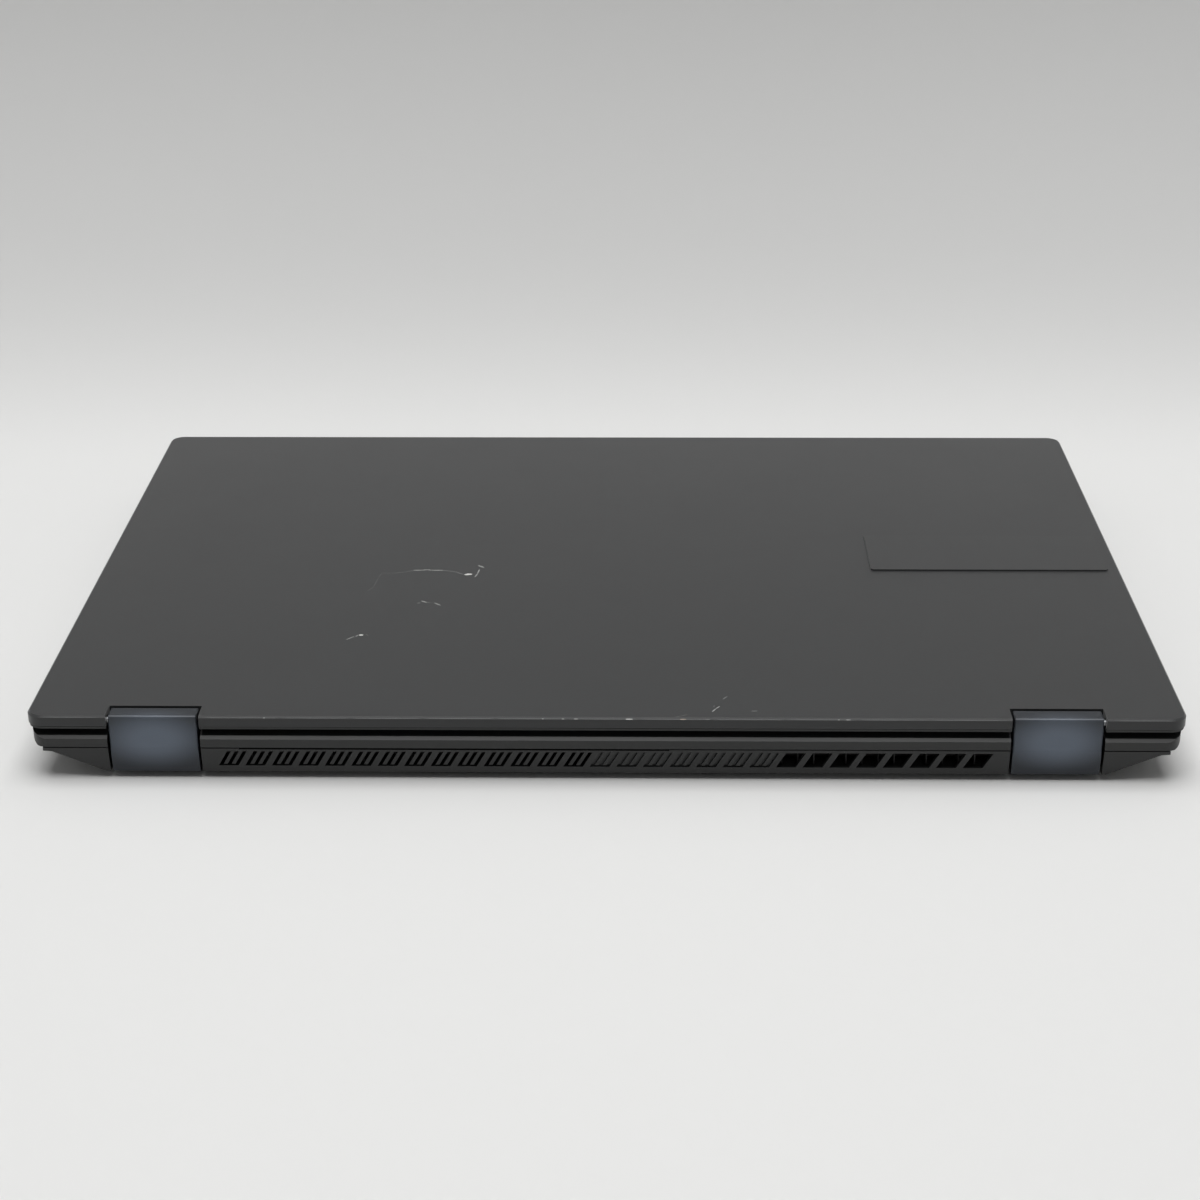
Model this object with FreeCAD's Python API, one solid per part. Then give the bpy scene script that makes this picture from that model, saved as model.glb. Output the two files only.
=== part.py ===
"""A 16-inch laptop computer, closed: hinged screen lid, keyboard base and a rear exhaust grille.

Millimetres. X runs to the user's right, Y from the user back to the hinges, Z up. The origin is
on the table, under the middle of the closed laptop.
"""
import FreeCAD
import Part

import math
import os

V = FreeCAD.Vector

# Whole laptop
LID_WIDTH = 357.0
LID_DEPTH = 250.7
CORNER_RADIUS = 5.0
FOOT_HEIGHT = 2.4
BASE_HEIGHT = 14.35
LID_GAP = 0.75
LID_HEIGHT = 4.5

# Base shell: deck case above the parting line, bottom cover below it
BASE_INSET = 1.1  # the base's sides and front stand in from the lid
WALL = 1.5
DECK_THICKNESS = 1.2
FLOOR = 1.5
DECK_BEVEL = 0.6  # between the deck and the side walls
UNDER_ROUND = 3.2  # between the side walls and the parting line
SEAM_UP = 8.7  # parting line above the underside
SEAM_GAP = 0.35
LIP_INSET = 3.5  # upright lip of the bottom cover, in from the side wall
LIP_HEIGHT = 1.2
SHELF_INSET = 6.2  # outer end of the long slope
SHELF_DROP = 0.2
SIDE_SLOPE_INSET = 22.5  # foot of the long slope at the sides
FRONT_SLOPE_INSET = 20.0  # and at the front
REAR_TUCK = 1.25  # the rear wall leans in this much at its foot
LEDGE_DROP = 1.75  # the deck slopes down to a ledge at the rear
LEDGE_RUN = 6.0
LEDGE_BEVEL = 0.9
THUMB_NOTCH_WIDTH = 62.0
THUMB_NOTCH_DEPTH = 2.6
PORT_ROOM = 0.15  # between a socket and the case around it

# Barrel hinges
HINGE_FROM_SIDE = 39.3  # hinge centre in from the lid's side
CAP_WIDTH = 27.2
CAP_DEPTH = 5.9
CAP_GAP = 0.8  # at each side of a cap
CAP_WALL = 0.7
CAP_FLOOR = 1.2
CAP_ROUND = 1.0
CAP_EDGE = 0.35
NOTCH_DEPTH = 7.2  # of the lid around a cap
PIN_RADIUS = 1.0
PIN_CLEARANCE = 0.05  # running fit in the barrel
PIN_ROOM = 0.4  # where the pin passes through a wall
BARREL_RADIUS = 1.65
BARREL_ROOM = 0.15  # above the barrel, under the cap's top
AXIS_IN = 2.7  # hinge axis in from the rear face
LEAF = 1.1  # thickness of the hinge leaves
LEAF_BEND = 0.6
BRACKET_LENGTH = 22.0
BRACKET_SIDE_ROOM = 4.0
BRACKET_DROP = 2.15  # under the deck, on its bosses
BRACKET_BOSS_SPREAD = 5.4
BRACKET_BOSS_IN = 3.4
ARM_WIDTH = 15.0
ARM_LENGTH = 17.0
ARM_BLOCK = 1.3  # half the depth of the block that holds the pin

# Lid
LID_WALL = 1.2
LID_SKIN = 1.2
LID_BEVEL = 0.6
BEZEL_THICKNESS = 0.7
BEZEL_INSET = 0.3
PARTING_GAP = 0.25
SIDE_BEZEL = 6.15
TOP_BEZEL = 9.0
CHIN = 26.3
PANEL_BORDER = 2.0
PANEL_FOOT = 5.0
PANEL_ROOM = 0.15
PANEL_BACK_ROOM = 0.3
PLATE_FROM_SIDE = 4.2
PLATE_FROM_REAR = 114.65
PLATE_WIDTH = 82.7
PLATE_DEPTH = 31.2
PLATE_HEIGHT = 0.5
PLATE_CORNER = 0.8
GASKET_INSET = 2.2
GASKET_WIDTH = 1.6
GASKET_ROOM = 0.3  # between the closed lid's gasket and the deck
CAMERA_WIDTH = 42.0
CAMERA_DEPTH = 4.4
CAMERA_HEIGHT = 1.4
CAMERA_LENS = 1.4
CAMERA_LENS_ROOM = 0.2

# Rear exhaust panel with slanted openings
PANEL_WALL = 1.6
PANEL_RECESS = 0.8  # depth of the blind openings
PANEL_FOOT_STEP = 0.9  # the panel stands on a rebate this far above the underside
VENT_PITCH = 8.225
VENT_WIDTH = 6.1
VENT_SLANT = 3.0
VENT_BELOW = 1.3
VENT_ABOVE = 0.95
VENT_MARGIN = 4.0
VENT_SLOT = 1.2
VENT_FOOT_SLOT = 0.6  # the slots of a combed opening meet in this strip
COMBED_VENTS = 14
BLIND_VENTS = 7

# Keyboard
KEYBOARD_FROM_SIDE = 14.9
KEYBOARD_FROM_REAR = 30.0
FUNCTION_PITCH = 11.5
ROW_PITCH = 17.6
NUMBER_PAD_SHARE = 0.86  # of a main key's width
NUMBER_PAD_GAP = 1.5
MAIN_UNITS = 15
NUMBER_COLUMNS = 4
KEY_GAP = 2.6
KEY_TAPER = 0.4
KEY_HEIGHT = 2.05
KEY_BELOW_DECK = 0.1
KEY_TRAVEL = 1.4
KEY_ROOM = 0.35  # around a key in its hole
KEY_UNDER_ROOM = 0.2  # under a pressed key
OPENING_MARGIN = 0.8
FRAME_FLANGE = 2.0
FRAME_THICKNESS = 1.0
OPENING_CORNER = 1.4
RIM_WIDTH = 1.4
KEY_PLATE_THICKNESS = 0.8

# Each main row from the rear: node, how many, width in units
MAIN_ROWS = (
    (("function_keys", 15, 1.0),),
    (("main_keys", 13, 1.0), ("backspace_key", 1, 2.0)),
    (("tab_key", 1, 1.5), ("main_keys", 12, 1.0), ("main_keys", 1, 1.5)),
    (("caps_lock_key", 1, 1.75), ("main_keys", 11, 1.0), ("enter_key", 1, 2.25)),
    (("left_shift_key", 1, 2.25), ("main_keys", 10, 1.0), ("right_shift_key", 1, 2.75)),
    (("main_keys", 1, 1.25), ("main_keys", 2, 1.0), ("main_keys", 1, 1.25),
     ("space_bar", 1, 5.5), ("main_keys", 2, 1.0)),
)

# Touchpad, hinged near its rear edge
PAD_WIDTH = 130.0
PAD_FROM_FRONT = 8.0
PAD_FROM_KEYBOARD = 27.1
PAD_CORNER = 3.0
PAD_ROOM = 0.3
PAD_BELOW_DECK = 0.2
PAD_THICKNESS = 2.2
PAD_TRAVEL = 0.5
PAD_PIVOT_IN = 3.0
TRAY_ROOM = 1.0
TRAY_WALL = 1.0

# Inside the base
BOSS_RADIUS = 2.4
STANDOFF_RADIUS = 2.0
STANDOFF_HEIGHT = 2.3  # keyboard plate to motherboard
BOARD_THICKNESS = 1.0
BOARD_GAP = 3.0  # around the motherboard
BOARD_BEHIND = 14.0  # from its middle part to the fins
STANDOFF_IN = 6.0  # standoffs in from the board's edges
BOARD_DEPTH = 42.0  # of the strip in front of the fans
BOARD_SIDE_INSET = 13.4
FAN_SIZE = 62.0
FAN_CORNER = 12.0
FAN_WALL = 0.8
FAN_FLOOR_ROOM = 0.4
FAN_TOP_ROOM = 1.3
FAN_INLET = 19.0
INLET_SIDES = 16
FAN_TIP_ROOM = 1.2
FAN_POST = 1.5
FAN_POST_CLEARANCE = 0.05
FAN_HUB = 9.5
FAN_FACE_ROOM = 0.5
FAN_BLADES = 13
FAN_BLADE = 0.7
FAN_SWEEP = 38.0  # degrees from a blade's root to its tip
BLADE_BOW = 24.0  # and to its middle
FIN_WIDTH = 65.0
FIN_DEPTH = 12.0
FIN_BACK_ROOM = 1.2
FIN_PITCH = 4.97
FIN_THICKNESS = 0.35
FIN_FROM_NOTCH = 5.0
PIPE_WIDTH = 7.0
PIPE_ROOM = 0.3
PIPE_FLOOR_ROOM = 0.8
PIPE_BEND = 8.0
PIPE_FROM_CENTRE = 14.0
PROCESSOR_WIDTH = 44.0
PROCESSOR_DEPTH = 26.0
PROCESSOR_HEIGHT = 1.0
COLD_PLATE_HEIGHT = 1.2
COLD_PLATE_BORDER = 4.0
BATTERY_WIDTH = 250.0
BATTERY_FROM_SLOPE = 10.0
BATTERY_FROM_BOARD = 16.0
BATTERY_FLOOR_ROOM = 0.3
BATTERY_TOP_ROOM = 1.9
BATTERY_CELLS = 3
CELL_GROOVE = 1.2
BATTERY_BOSS_IN = 5.0
SPEAKER_WIDTH = 22.0
SPEAKER_FROM_BATTERY = 14.0  # its front behind the battery's
SPEAKER_FROM_KEYBOARD = 12.0
SPEAKER_HEIGHT = 4.4
SPEAKER_MARGIN = 3.0
SPEAKER_RECESS = 1.0
DRIVE_WIDTH = 22.0
DRIVE_DEPTH = 80.0
DRIVE_HEIGHT = 2.4
DRIVE_FROM_END = 1.5  # in from the motherboard's left end
MEMORY_WIDTH = 67.6
MEMORY_DEPTH = 30.0
MEMORY_HEIGHT = 2.6
WIRELESS_WIDTH = 22.0
WIRELESS_DEPTH = 30.0
MODULE_BOARD = 0.8
MODULE_SOCKET = 5.0
RIBBON_WIDTH = 10.0
RIBBON_THICKNESS = 0.2
RIBBON_RISE = 0.9
RIBBON_END = 6.0

# Sockets: outside width and height, wall, and depth into the case
USB_A_WIDTH = 13.1
USB_A_HEIGHT = 5.7
USB_C_WIDTH = 8.94
USB_C_HEIGHT = 3.26
VIDEO_WIDTH = 15.0
VIDEO_HEIGHT = 5.5
ROUND_SOCKET = 6.0
OCTAGON = 1 - math.sqrt(0.5)  # share cut off each corner of a square to leave an octagon
AUDIO_BORE = 3.6
POWER_BORE = 4.6
POWER_PIN = 1.4
SOCKET_WALL = 0.3
SOCKET_BACK = 1.0
SOCKET_TONGUE = 1.8
SLIM_TONGUE = 0.7
SOCKET_DEPTH = 10.4
SOCKET_SETBACK = 0.6
SOCKET_BELOW_DECK = 3.65
SOCKET_TAIL = 7.0
TAIL_INSET = 2.0
TAIL_HEIGHT = 2.0
TONGUE_INSET = 1.4
POWER_FROM_REAR = 41.0
VIDEO_FROM_REAR = 61.0
USB_A_FROM_REAR = 81.0
USB_C_FROM_REAR = 98.0
AUDIO_FROM_REAR = 111.0
LEFT_USB_FROM_REAR = 66.0
IO_BOARD_DEPTH = 54.0

# Feet, intake slots and cover posts
REAR_FOOT_LENGTH = 80.0
REAR_FOOT_WIDTH = 8.0
REAR_FOOT_FROM_REAR = 4.0
REAR_FOOT_FROM_CENTRE = 104.1
FRONT_FOOT_LENGTH = 40.0
FRONT_FOOT_WIDTH = 7.0
FRONT_FOOT_FROM_SLOPE = 3.0
FRONT_FOOT_FROM_CENTRE = 96.0
FOOT_CORNER = 2.0
FOOT_EDGE = 0.5
COVER_POST_IN = 4.0  # in from the front slope, the touchpad's tray and the brackets' ends
INTAKE_SLOT = 2.6
INTAKE_PITCH = 6.0
INTAKE_LENGTH = 15.0
INTAKE_GAP = 4.0
SPEAKER_SLOT_LENGTH = 10.0

# Levels and places worked out from those sizes
TINY = 1e-6
PAST = 5.0  # how far cutting tools run past a face
REAR = LID_DEPTH / 2
FRONT = -REAR
LID_HALF = LID_WIDTH / 2
BASE_HALF = LID_HALF - BASE_INSET
BASE_FRONT = FRONT + BASE_INSET
BOTTOM = FOOT_HEIGHT
FLOOR_TOP = BOTTOM + FLOOR
SEAM = BOTTOM + SEAM_UP
SHELF = SEAM - LIP_HEIGHT
DECK = BOTTOM + BASE_HEIGHT
DECK_UNDER = DECK - DECK_THICKNESS
LEDGE = DECK - LEDGE_DROP
LID_BOTTOM = DECK + LID_GAP
LID_TOP = LID_BOTTOM + LID_HEIGHT
BEZEL_TOP = LID_BOTTOM + BEZEL_THICKNESS
LID_RIM = BEZEL_TOP + PARTING_GAP
LID_CEILING = LID_TOP - LID_SKIN
HINGE_X = LID_HALF - HINGE_FROM_SIDE
NOTCH_HALF = CAP_WIDTH / 2 + CAP_GAP
AXIS_Y = REAR - AXIS_IN
AXIS_Z = LID_TOP - CAP_WALL - BARREL_ROOM - BARREL_RADIUS
BRACKET_TOP = DECK_UNDER - BRACKET_DROP
CAP_FRONT = REAR - CAP_DEPTH
PANEL_SIDE = HINGE_X - NOTCH_HALF
PANEL_BOTTOM = BOTTOM + PANEL_FOOT_STEP
PANEL_TOP = SEAM - SEAM_GAP / 2
FRAME_BOTTOM = DECK_UNDER - FRAME_THICKNESS
KEY_TOP = DECK - KEY_BELOW_DECK
KEY_BOTTOM = KEY_TOP - KEY_HEIGHT
KEY_PLATE_TOP = KEY_BOTTOM - KEY_TRAVEL - KEY_UNDER_ROOM
KEY_PLATE_BOTTOM = KEY_PLATE_TOP - KEY_PLATE_THICKNESS
KEYBOARD_HALF = BASE_HALF - KEYBOARD_FROM_SIDE
KEYBOARD_REAR = REAR - KEYBOARD_FROM_REAR
KEYBOARD_FRONT = KEYBOARD_REAR - FUNCTION_PITCH - (len(MAIN_ROWS) - 1) * ROW_PITCH
KEY_UNIT = (2 * KEYBOARD_HALF - NUMBER_PAD_GAP) / (MAIN_UNITS + NUMBER_COLUMNS * NUMBER_PAD_SHARE)
NUMBER_UNIT = KEY_UNIT * NUMBER_PAD_SHARE
BOARD_TOP = KEY_PLATE_BOTTOM - STANDOFF_HEIGHT
BOARD_BOTTOM = BOARD_TOP - BOARD_THICKNESS
BOARD_SIDE = BASE_HALF - BOARD_SIDE_INSET
FIN_REAR = REAR - REAR_TUCK - PANEL_WALL - FIN_BACK_ROOM
FAN_REAR = FIN_REAR - FIN_DEPTH
FAN_FRONT = FAN_REAR - FAN_SIZE
FAN_X = PANEL_SIDE - FIN_FROM_NOTCH - FIN_WIDTH / 2
FAN_Y = FAN_REAR - FAN_SIZE / 2
FAN_BOTTOM = FLOOR_TOP + FAN_FLOOR_ROOM
FAN_TOP = KEY_PLATE_BOTTOM - FAN_TOP_ROOM
BOARD_CORE = FAN_X - FAN_SIZE / 2 - BOARD_GAP
BOARD_OUTER = FAN_X + FAN_SIZE / 2 + BOARD_GAP
BOARD_REAR = FAN_FRONT - BOARD_GAP
BOARD_FRONT = BOARD_REAR - BOARD_DEPTH
CORE_REAR = FAN_REAR - BOARD_BEHIND
PORT_WING_REAR = REAR - BRACKET_LENGTH - AXIS_IN - BOARD_GAP
COLD_PLATE_TOP = BOARD_BOTTOM - PROCESSOR_HEIGHT
PIPE_TOP = COLD_PLATE_TOP - COLD_PLATE_HEIGHT
PIPE_BOTTOM = FLOOR_TOP + PIPE_FLOOR_ROOM
PROCESSOR_Y = CORE_REAR - BOARD_GAP - COLD_PLATE_BORDER - PROCESSOR_DEPTH / 2
PAD_TOP = DECK - PAD_BELOW_DECK
PAD_BOTTOM = PAD_TOP - PAD_THICKNESS
PAD_FRONT = BASE_FRONT + PAD_FROM_FRONT
PAD_REAR = KEYBOARD_FRONT - PAD_FROM_KEYBOARD
TRAY_FLOOR_TOP = PAD_BOTTOM - PAD_TRAVEL - PAD_ROOM
TRAY_BOTTOM = TRAY_FLOOR_TOP - TRAY_WALL
BATTERY_FRONT = BASE_FRONT + FRONT_SLOPE_INSET + BATTERY_FROM_SLOPE
BATTERY_REAR = BOARD_FRONT - BATTERY_FROM_BOARD
BATTERY_TOP = TRAY_BOTTOM - BATTERY_TOP_ROOM
SPEAKER_FRONT = BATTERY_FRONT + SPEAKER_FROM_BATTERY
SPEAKER_REAR = KEYBOARD_FRONT - OPENING_MARGIN - FRAME_FLANGE - SPEAKER_FROM_KEYBOARD
DRIVE_LEFT = -BOARD_OUTER + BOARD_GAP + DRIVE_FROM_END
MEMORY_LEFT = DRIVE_LEFT + DRIVE_DEPTH + BOARD_GAP
WIRELESS_LEFT = MEMORY_LEFT + MEMORY_WIDTH + 2 * BOARD_GAP
SOCKET_MIDDLE = DECK - SOCKET_BELOW_DECK
SOCKET_FACE = BASE_HALF - SOCKET_SETBACK
SOCKET_REAR = SOCKET_FACE - SOCKET_DEPTH
COVER_POST_FRONT = BASE_FRONT + FRONT_SLOPE_INSET + COVER_POST_IN
COVER_POST_SIDE = BASE_HALF - WALL - SIDE_SLOPE_INSET - BOSS_RADIUS
COVER_POST_REAR = AXIS_Y - BRACKET_LENGTH + COVER_POST_IN
COVER_POST_PAD = PAD_WIDTH / 2 + TRAY_ROOM + TRAY_WALL + COVER_POST_IN


# Shape helpers

def box(x0, x1, y0, y1, z0, z1):
    return Part.makeBox(x1 - x0, y1 - y0, z1 - z0, V(x0, y0, z0))


def post(radius, x, y, z0, z1):
    return Part.makeCylinder(radius, z1 - z0, V(x, y, z0))


def rod(radius, x0, x1, y, z):
    return Part.makeCylinder(radius, x1 - x0, V(x0, y, z), V(1, 0, 0))


def mirrored(shape):
    return shape.mirror(V(0, 0, 0), V(1, 0, 0))


def bend(centre, radius, start, end):
    """An arc step of an outline: a point on its way and its end, from angles in degrees."""
    steps = []
    for angle in ((start + end) / 2, end):
        turn = math.radians(angle)
        steps.append((centre[0] + radius * math.cos(turn), centre[1] + radius * math.sin(turn)))
    return tuple(steps)


def wire_through(points, place):
    """A closed wire through corners and arc steps; place turns two numbers into a point."""
    here = place(*points[0])
    edges = []
    for step in points[1:] + [points[0]]:
        if isinstance(step[0], tuple):
            middle, end = place(*step[0]), place(*step[1])
            edges.append(Part.Arc(here, middle, end).toShape())
        else:
            end = place(*step)
            if here.distanceToPoint(end) > TINY:
                edges.append(Part.LineSegment(here, end).toShape())
        here = end
    return Part.Wire(edges)


def along_x(points, x0, x1):
    wire = wire_through(points, lambda y, z: V(x0, y, z))
    return Part.Face(wire).extrude(V(x1 - x0, 0, 0))


def along_y(points, y0, y1):
    wire = wire_through(points, lambda x, z: V(x, y0, z))
    return Part.Face(wire).extrude(V(0, y1 - y0, 0))


def along_z(points, z0, z1):
    wire = wire_through(points, lambda x, y: V(x, y, z0))
    return Part.Face(wire).extrude(V(0, 0, z1 - z0))


def rounded(u0, u1, v0, v1, radius):
    """Outline of a rectangle with round corners."""
    return [
        (u0 + radius, v0), (u1 - radius, v0), bend((u1 - radius, v0 + radius), radius, -90, 0),
        (u1, v1 - radius), bend((u1 - radius, v1 - radius), radius, 0, 90),
        (u0 + radius, v1), bend((u0 + radius, v1 - radius), radius, 90, 180),
        (u0, v0 + radius), bend((u0 + radius, v0 + radius), radius, 180, 270),
    ]


def bevelled(u0, u1, v0, v1, cut):
    """Outline of a rectangle with its corners cut off."""
    return [
        (u0 + cut, v0), (u1 - cut, v0), (u1, v0 + cut), (u1, v1 - cut),
        (u1 - cut, v1), (u0 + cut, v1), (u0, v1 - cut), (u0, v0 + cut),
    ]


def ring_points(radius, x, y, sides):
    """Corners of a regular outline round a point."""
    turns = [2 * math.pi * step / sides for step in range(sides)]
    return [(x + radius * math.cos(turn), y + radius * math.sin(turn)) for turn in turns]


def hex_post(radius, x, y, z0, z1):
    return along_z(ring_points(radius, x, y, 6), z0, z1)


def slab(x0, x1, y0, y1, z0, z1, radius):
    return along_z(rounded(x0, x1, y0, y1, radius), z0, z1)


def level_edges(shape, z):
    """Edges that lie flat at one height."""
    return [edge for edge in shape.Edges
            if abs(edge.BoundBox.ZMin - z) < TINY and abs(edge.BoundBox.ZMax - z) < TINY]


# Base shell

def base_outside():
    """The base's outer form: a cross-section, a lengthwise section and a rounded plan, intersected."""
    half = BASE_HALF
    front = BASE_FRONT
    across = along_y([
        (-half + DECK_BEVEL, DECK), (half - DECK_BEVEL, DECK), (half, DECK - DECK_BEVEL),
        (half, SEAM + UNDER_ROUND), bend((half - UNDER_ROUND, SEAM + UNDER_ROUND), UNDER_ROUND, 0, -90),
        (half - LIP_INSET, SEAM), (half - LIP_INSET, SHELF), (half - SHELF_INSET, SHELF - SHELF_DROP),
        (half - SIDE_SLOPE_INSET, BOTTOM), (-half + SIDE_SLOPE_INSET, BOTTOM),
        (-half + SHELF_INSET, SHELF - SHELF_DROP), (-half + LIP_INSET, SHELF), (-half + LIP_INSET, SEAM),
        (-half + UNDER_ROUND, SEAM), bend((-half + UNDER_ROUND, SEAM + UNDER_ROUND), UNDER_ROUND, 270, 180),
        (-half, DECK - DECK_BEVEL),
    ], front, REAR)
    lengthwise = along_x([
        (front + DECK_BEVEL, DECK), (REAR - LEDGE_RUN, DECK), (REAR - LEDGE_BEVEL, LEDGE),
        (REAR, LEDGE - LEDGE_BEVEL), (REAR, SEAM), (REAR - REAR_TUCK, BOTTOM),
        (front + FRONT_SLOPE_INSET, BOTTOM), (front + SHELF_INSET, SHELF - SHELF_DROP),
        (front + LIP_INSET, SHELF), (front + LIP_INSET, SEAM), (front + UNDER_ROUND, SEAM),
        bend((front + UNDER_ROUND, SEAM + UNDER_ROUND), UNDER_ROUND, 270, 180),
        (front, DECK - DECK_BEVEL),
    ], -half, half)
    plan = slab(-half, half, front, REAR, BOTTOM, DECK, CORNER_RADIUS)
    return across.common(lengthwise).common(plan)


def base_inside():
    """The hollow of the base, a wall's thickness inside its outer form."""
    half = BASE_HALF - WALL
    front = BASE_FRONT + WALL
    rear = REAR - WALL
    lip = LIP_INSET
    across = along_y([
        (-half, DECK_UNDER), (half, DECK_UNDER), (half, SEAM + UNDER_ROUND), (half - lip, SEAM),
        (half - SIDE_SLOPE_INSET, FLOOR_TOP), (-half + SIDE_SLOPE_INSET, FLOOR_TOP), (-half + lip, SEAM),
        (-half, SEAM + UNDER_ROUND),
    ], front, rear)
    lengthwise = along_x([
        (front, DECK_UNDER), (REAR - LEDGE_RUN - WALL, DECK_UNDER), (rear, LEDGE - DECK_THICKNESS),
        (rear, SEAM), (rear - REAR_TUCK, FLOOR_TOP), (front + FRONT_SLOPE_INSET, FLOOR_TOP),
        (front + lip, SEAM), (front, SEAM + UNDER_ROUND),
    ], -half, half)
    plan = along_z(bevelled(-half, half, front, rear, CORNER_RADIUS / 2), FLOOR_TOP, DECK_UNDER)
    return across.common(lengthwise).common(plan)


def hinge_gap(depth, z0, z1):
    """Room for both hinge caps, open to the rear."""
    right = box(HINGE_X - NOTCH_HALF, HINGE_X + NOTCH_HALF, REAR - depth, REAR + PAST, z0, z1)
    return right.fuse(mirrored(right))


def base_layer(z0, z1):
    """One shell of the base between two heights."""
    layer = box(-LID_HALF, LID_HALF, FRONT, REAR, z0, z1)
    return base_outside().common(layer).cut(base_inside())


def deck_posts():
    """Six-sided posts under the deck that carry the hinges, the battery and the bottom cover."""
    front = AXIS_Y - BRACKET_LENGTH + BRACKET_BOSS_IN
    middle = (front + CAP_FRONT) / 2
    battery_x = BATTERY_WIDTH / 2 - BATTERY_BOSS_IN
    right = [
        (HINGE_X - BRACKET_BOSS_SPREAD, front, BRACKET_TOP),
        (HINGE_X + BRACKET_BOSS_SPREAD, front, BRACKET_TOP),
        (HINGE_X, middle, BRACKET_TOP),
        (battery_x, BATTERY_FRONT + BATTERY_BOSS_IN, BATTERY_TOP),
        (battery_x, BATTERY_REAR - BATTERY_BOSS_IN, BATTERY_TOP),
        (COVER_POST_SIDE, COVER_POST_FRONT, FLOOR_TOP),
        (COVER_POST_PAD, COVER_POST_FRONT, FLOOR_TOP),
        (COVER_POST_SIDE, COVER_POST_REAR, FLOOR_TOP),
    ]
    posts = [hex_post(BOSS_RADIUS, x, y, z0, DECK_UNDER) for x, y, z0 in right]
    posts += [mirrored(shape) for shape in posts]
    posts.append(hex_post(BOSS_RADIUS, 0, FAN_REAR - BOSS_RADIUS, FLOOR_TOP, DECK_UNDER))
    return posts


def top_case():
    """The deck with its side walls: keyboard and touchpad openings, hinge gaps, socket cut-outs."""
    case = base_layer(SEAM + SEAM_GAP / 2, DECK)
    thumb = along_x([
        (BASE_FRONT - PAST, DECK + PAST), (BASE_FRONT - PAST, DECK - DECK_THICKNESS / 2),
        (BASE_FRONT, DECK - DECK_THICKNESS / 2), (BASE_FRONT + THUMB_NOTCH_DEPTH, DECK),
        (BASE_FRONT + THUMB_NOTCH_DEPTH, DECK + PAST),
    ], -THUMB_NOTCH_WIDTH / 2, THUMB_NOTCH_WIDTH / 2)
    keys = along_z(bevelled(*keyboard_outline(OPENING_MARGIN), OPENING_CORNER),
                   DECK_UNDER - PAST, DECK + PAST)
    pad = along_z(rounded(*pad_outline(PAD_ROOM), PAD_CORNER + PAD_ROOM), DECK_UNDER - PAST, DECK + PAST)
    case = case.cut([thumb, keys, pad, hinge_gap(CAP_DEPTH, BOTTOM, LID_TOP)] + socket_cuts())
    return case.fuse(deck_posts())


def floor_slots():
    """Air intakes under both fans and sound slots under both speakers."""
    def slot(x, y, width, depth):
        return box(x - width / 2, x + width / 2, y - depth / 2, y + depth / 2,
                   BOTTOM - PAST, FLOOR_TOP + PAST)

    def spread(length):
        """Middles of evenly pitched slots that fill a length."""
        count = int(length / INTAKE_PITCH)
        return [(step - (count - 1) / 2) * INTAKE_PITCH for step in range(count)]

    shift = (INTAKE_LENGTH + INTAKE_GAP) / 2
    right = []
    for along in spread(2 * FAN_INLET + INTAKE_PITCH):
        for side in (-1, 1):
            right.append(slot(FAN_X + along, FAN_Y + side * shift, INTAKE_SLOT, INTAKE_LENGTH))
    x0, x1 = speaker_sides()
    for along in spread(SPEAKER_REAR - SPEAKER_FRONT - 2 * SPEAKER_MARGIN):
        right.append(slot((x0 + x1) / 2, (SPEAKER_FRONT + SPEAKER_REAR) / 2 + along, SPEAKER_SLOT_LENGTH,
                          INTAKE_SLOT))
    return right + [mirrored(opening) for opening in right]


def bottom_cover():
    """The tray under the base, open at the rear for the exhaust panel and the hinge caps."""
    cover = base_layer(BOTTOM, SEAM - SEAM_GAP / 2)
    rebate = box(-HINGE_X - NOTCH_HALF, HINGE_X + NOTCH_HALF, REAR - REAR_TUCK - PANEL_WALL, REAR + PAST,
                 PANEL_BOTTOM, SEAM)
    return cover.cut([rebate, hinge_gap(CAP_DEPTH, BOTTOM - PAST, SEAM)] + floor_slots() + socket_cuts())


# Rear exhaust panel

def panel_layer(y_out, y_in):
    """A leaning layer of the exhaust panel between two depths behind its outer face."""
    def face_at(z):
        return REAR - REAR_TUCK * (SEAM - z) / (SEAM - BOTTOM)
    return along_x([
        (face_at(PANEL_BOTTOM) - y_out, PANEL_BOTTOM), (face_at(PANEL_TOP) - y_out, PANEL_TOP),
        (face_at(PANEL_TOP) - y_in, PANEL_TOP), (face_at(PANEL_BOTTOM) - y_in, PANEL_BOTTOM),
    ], -PANEL_SIDE, PANEL_SIDE)


def vent_outline(middle, combed):
    """A slanted opening; a combed one is three slots that meet in a strip at the foot."""
    z0 = PANEL_BOTTOM + VENT_BELOW
    z1 = PANEL_TOP - VENT_ABOVE
    left = middle - VENT_WIDTH / 2

    def at(along, z):
        return left + along + VENT_SLANT * (0.5 - (z - z0) / (z1 - z0)), z

    if not combed:
        return [at(0, z0), at(VENT_WIDTH, z0), at(VENT_WIDTH, z1), at(0, z1)]
    strip = z0 + VENT_FOOT_SLOT
    middle_slot = (VENT_WIDTH - VENT_SLOT) / 2
    last_slot = VENT_WIDTH - VENT_SLOT
    return [
        at(0, z0), at(VENT_WIDTH, z0), at(VENT_WIDTH, z1), at(last_slot, z1), at(last_slot, strip),
        at(middle_slot + VENT_SLOT, strip), at(middle_slot + VENT_SLOT, z1), at(middle_slot, z1),
        at(middle_slot, strip), at(VENT_SLOT, strip), at(VENT_SLOT, z1), at(0, z1),
    ]


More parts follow.
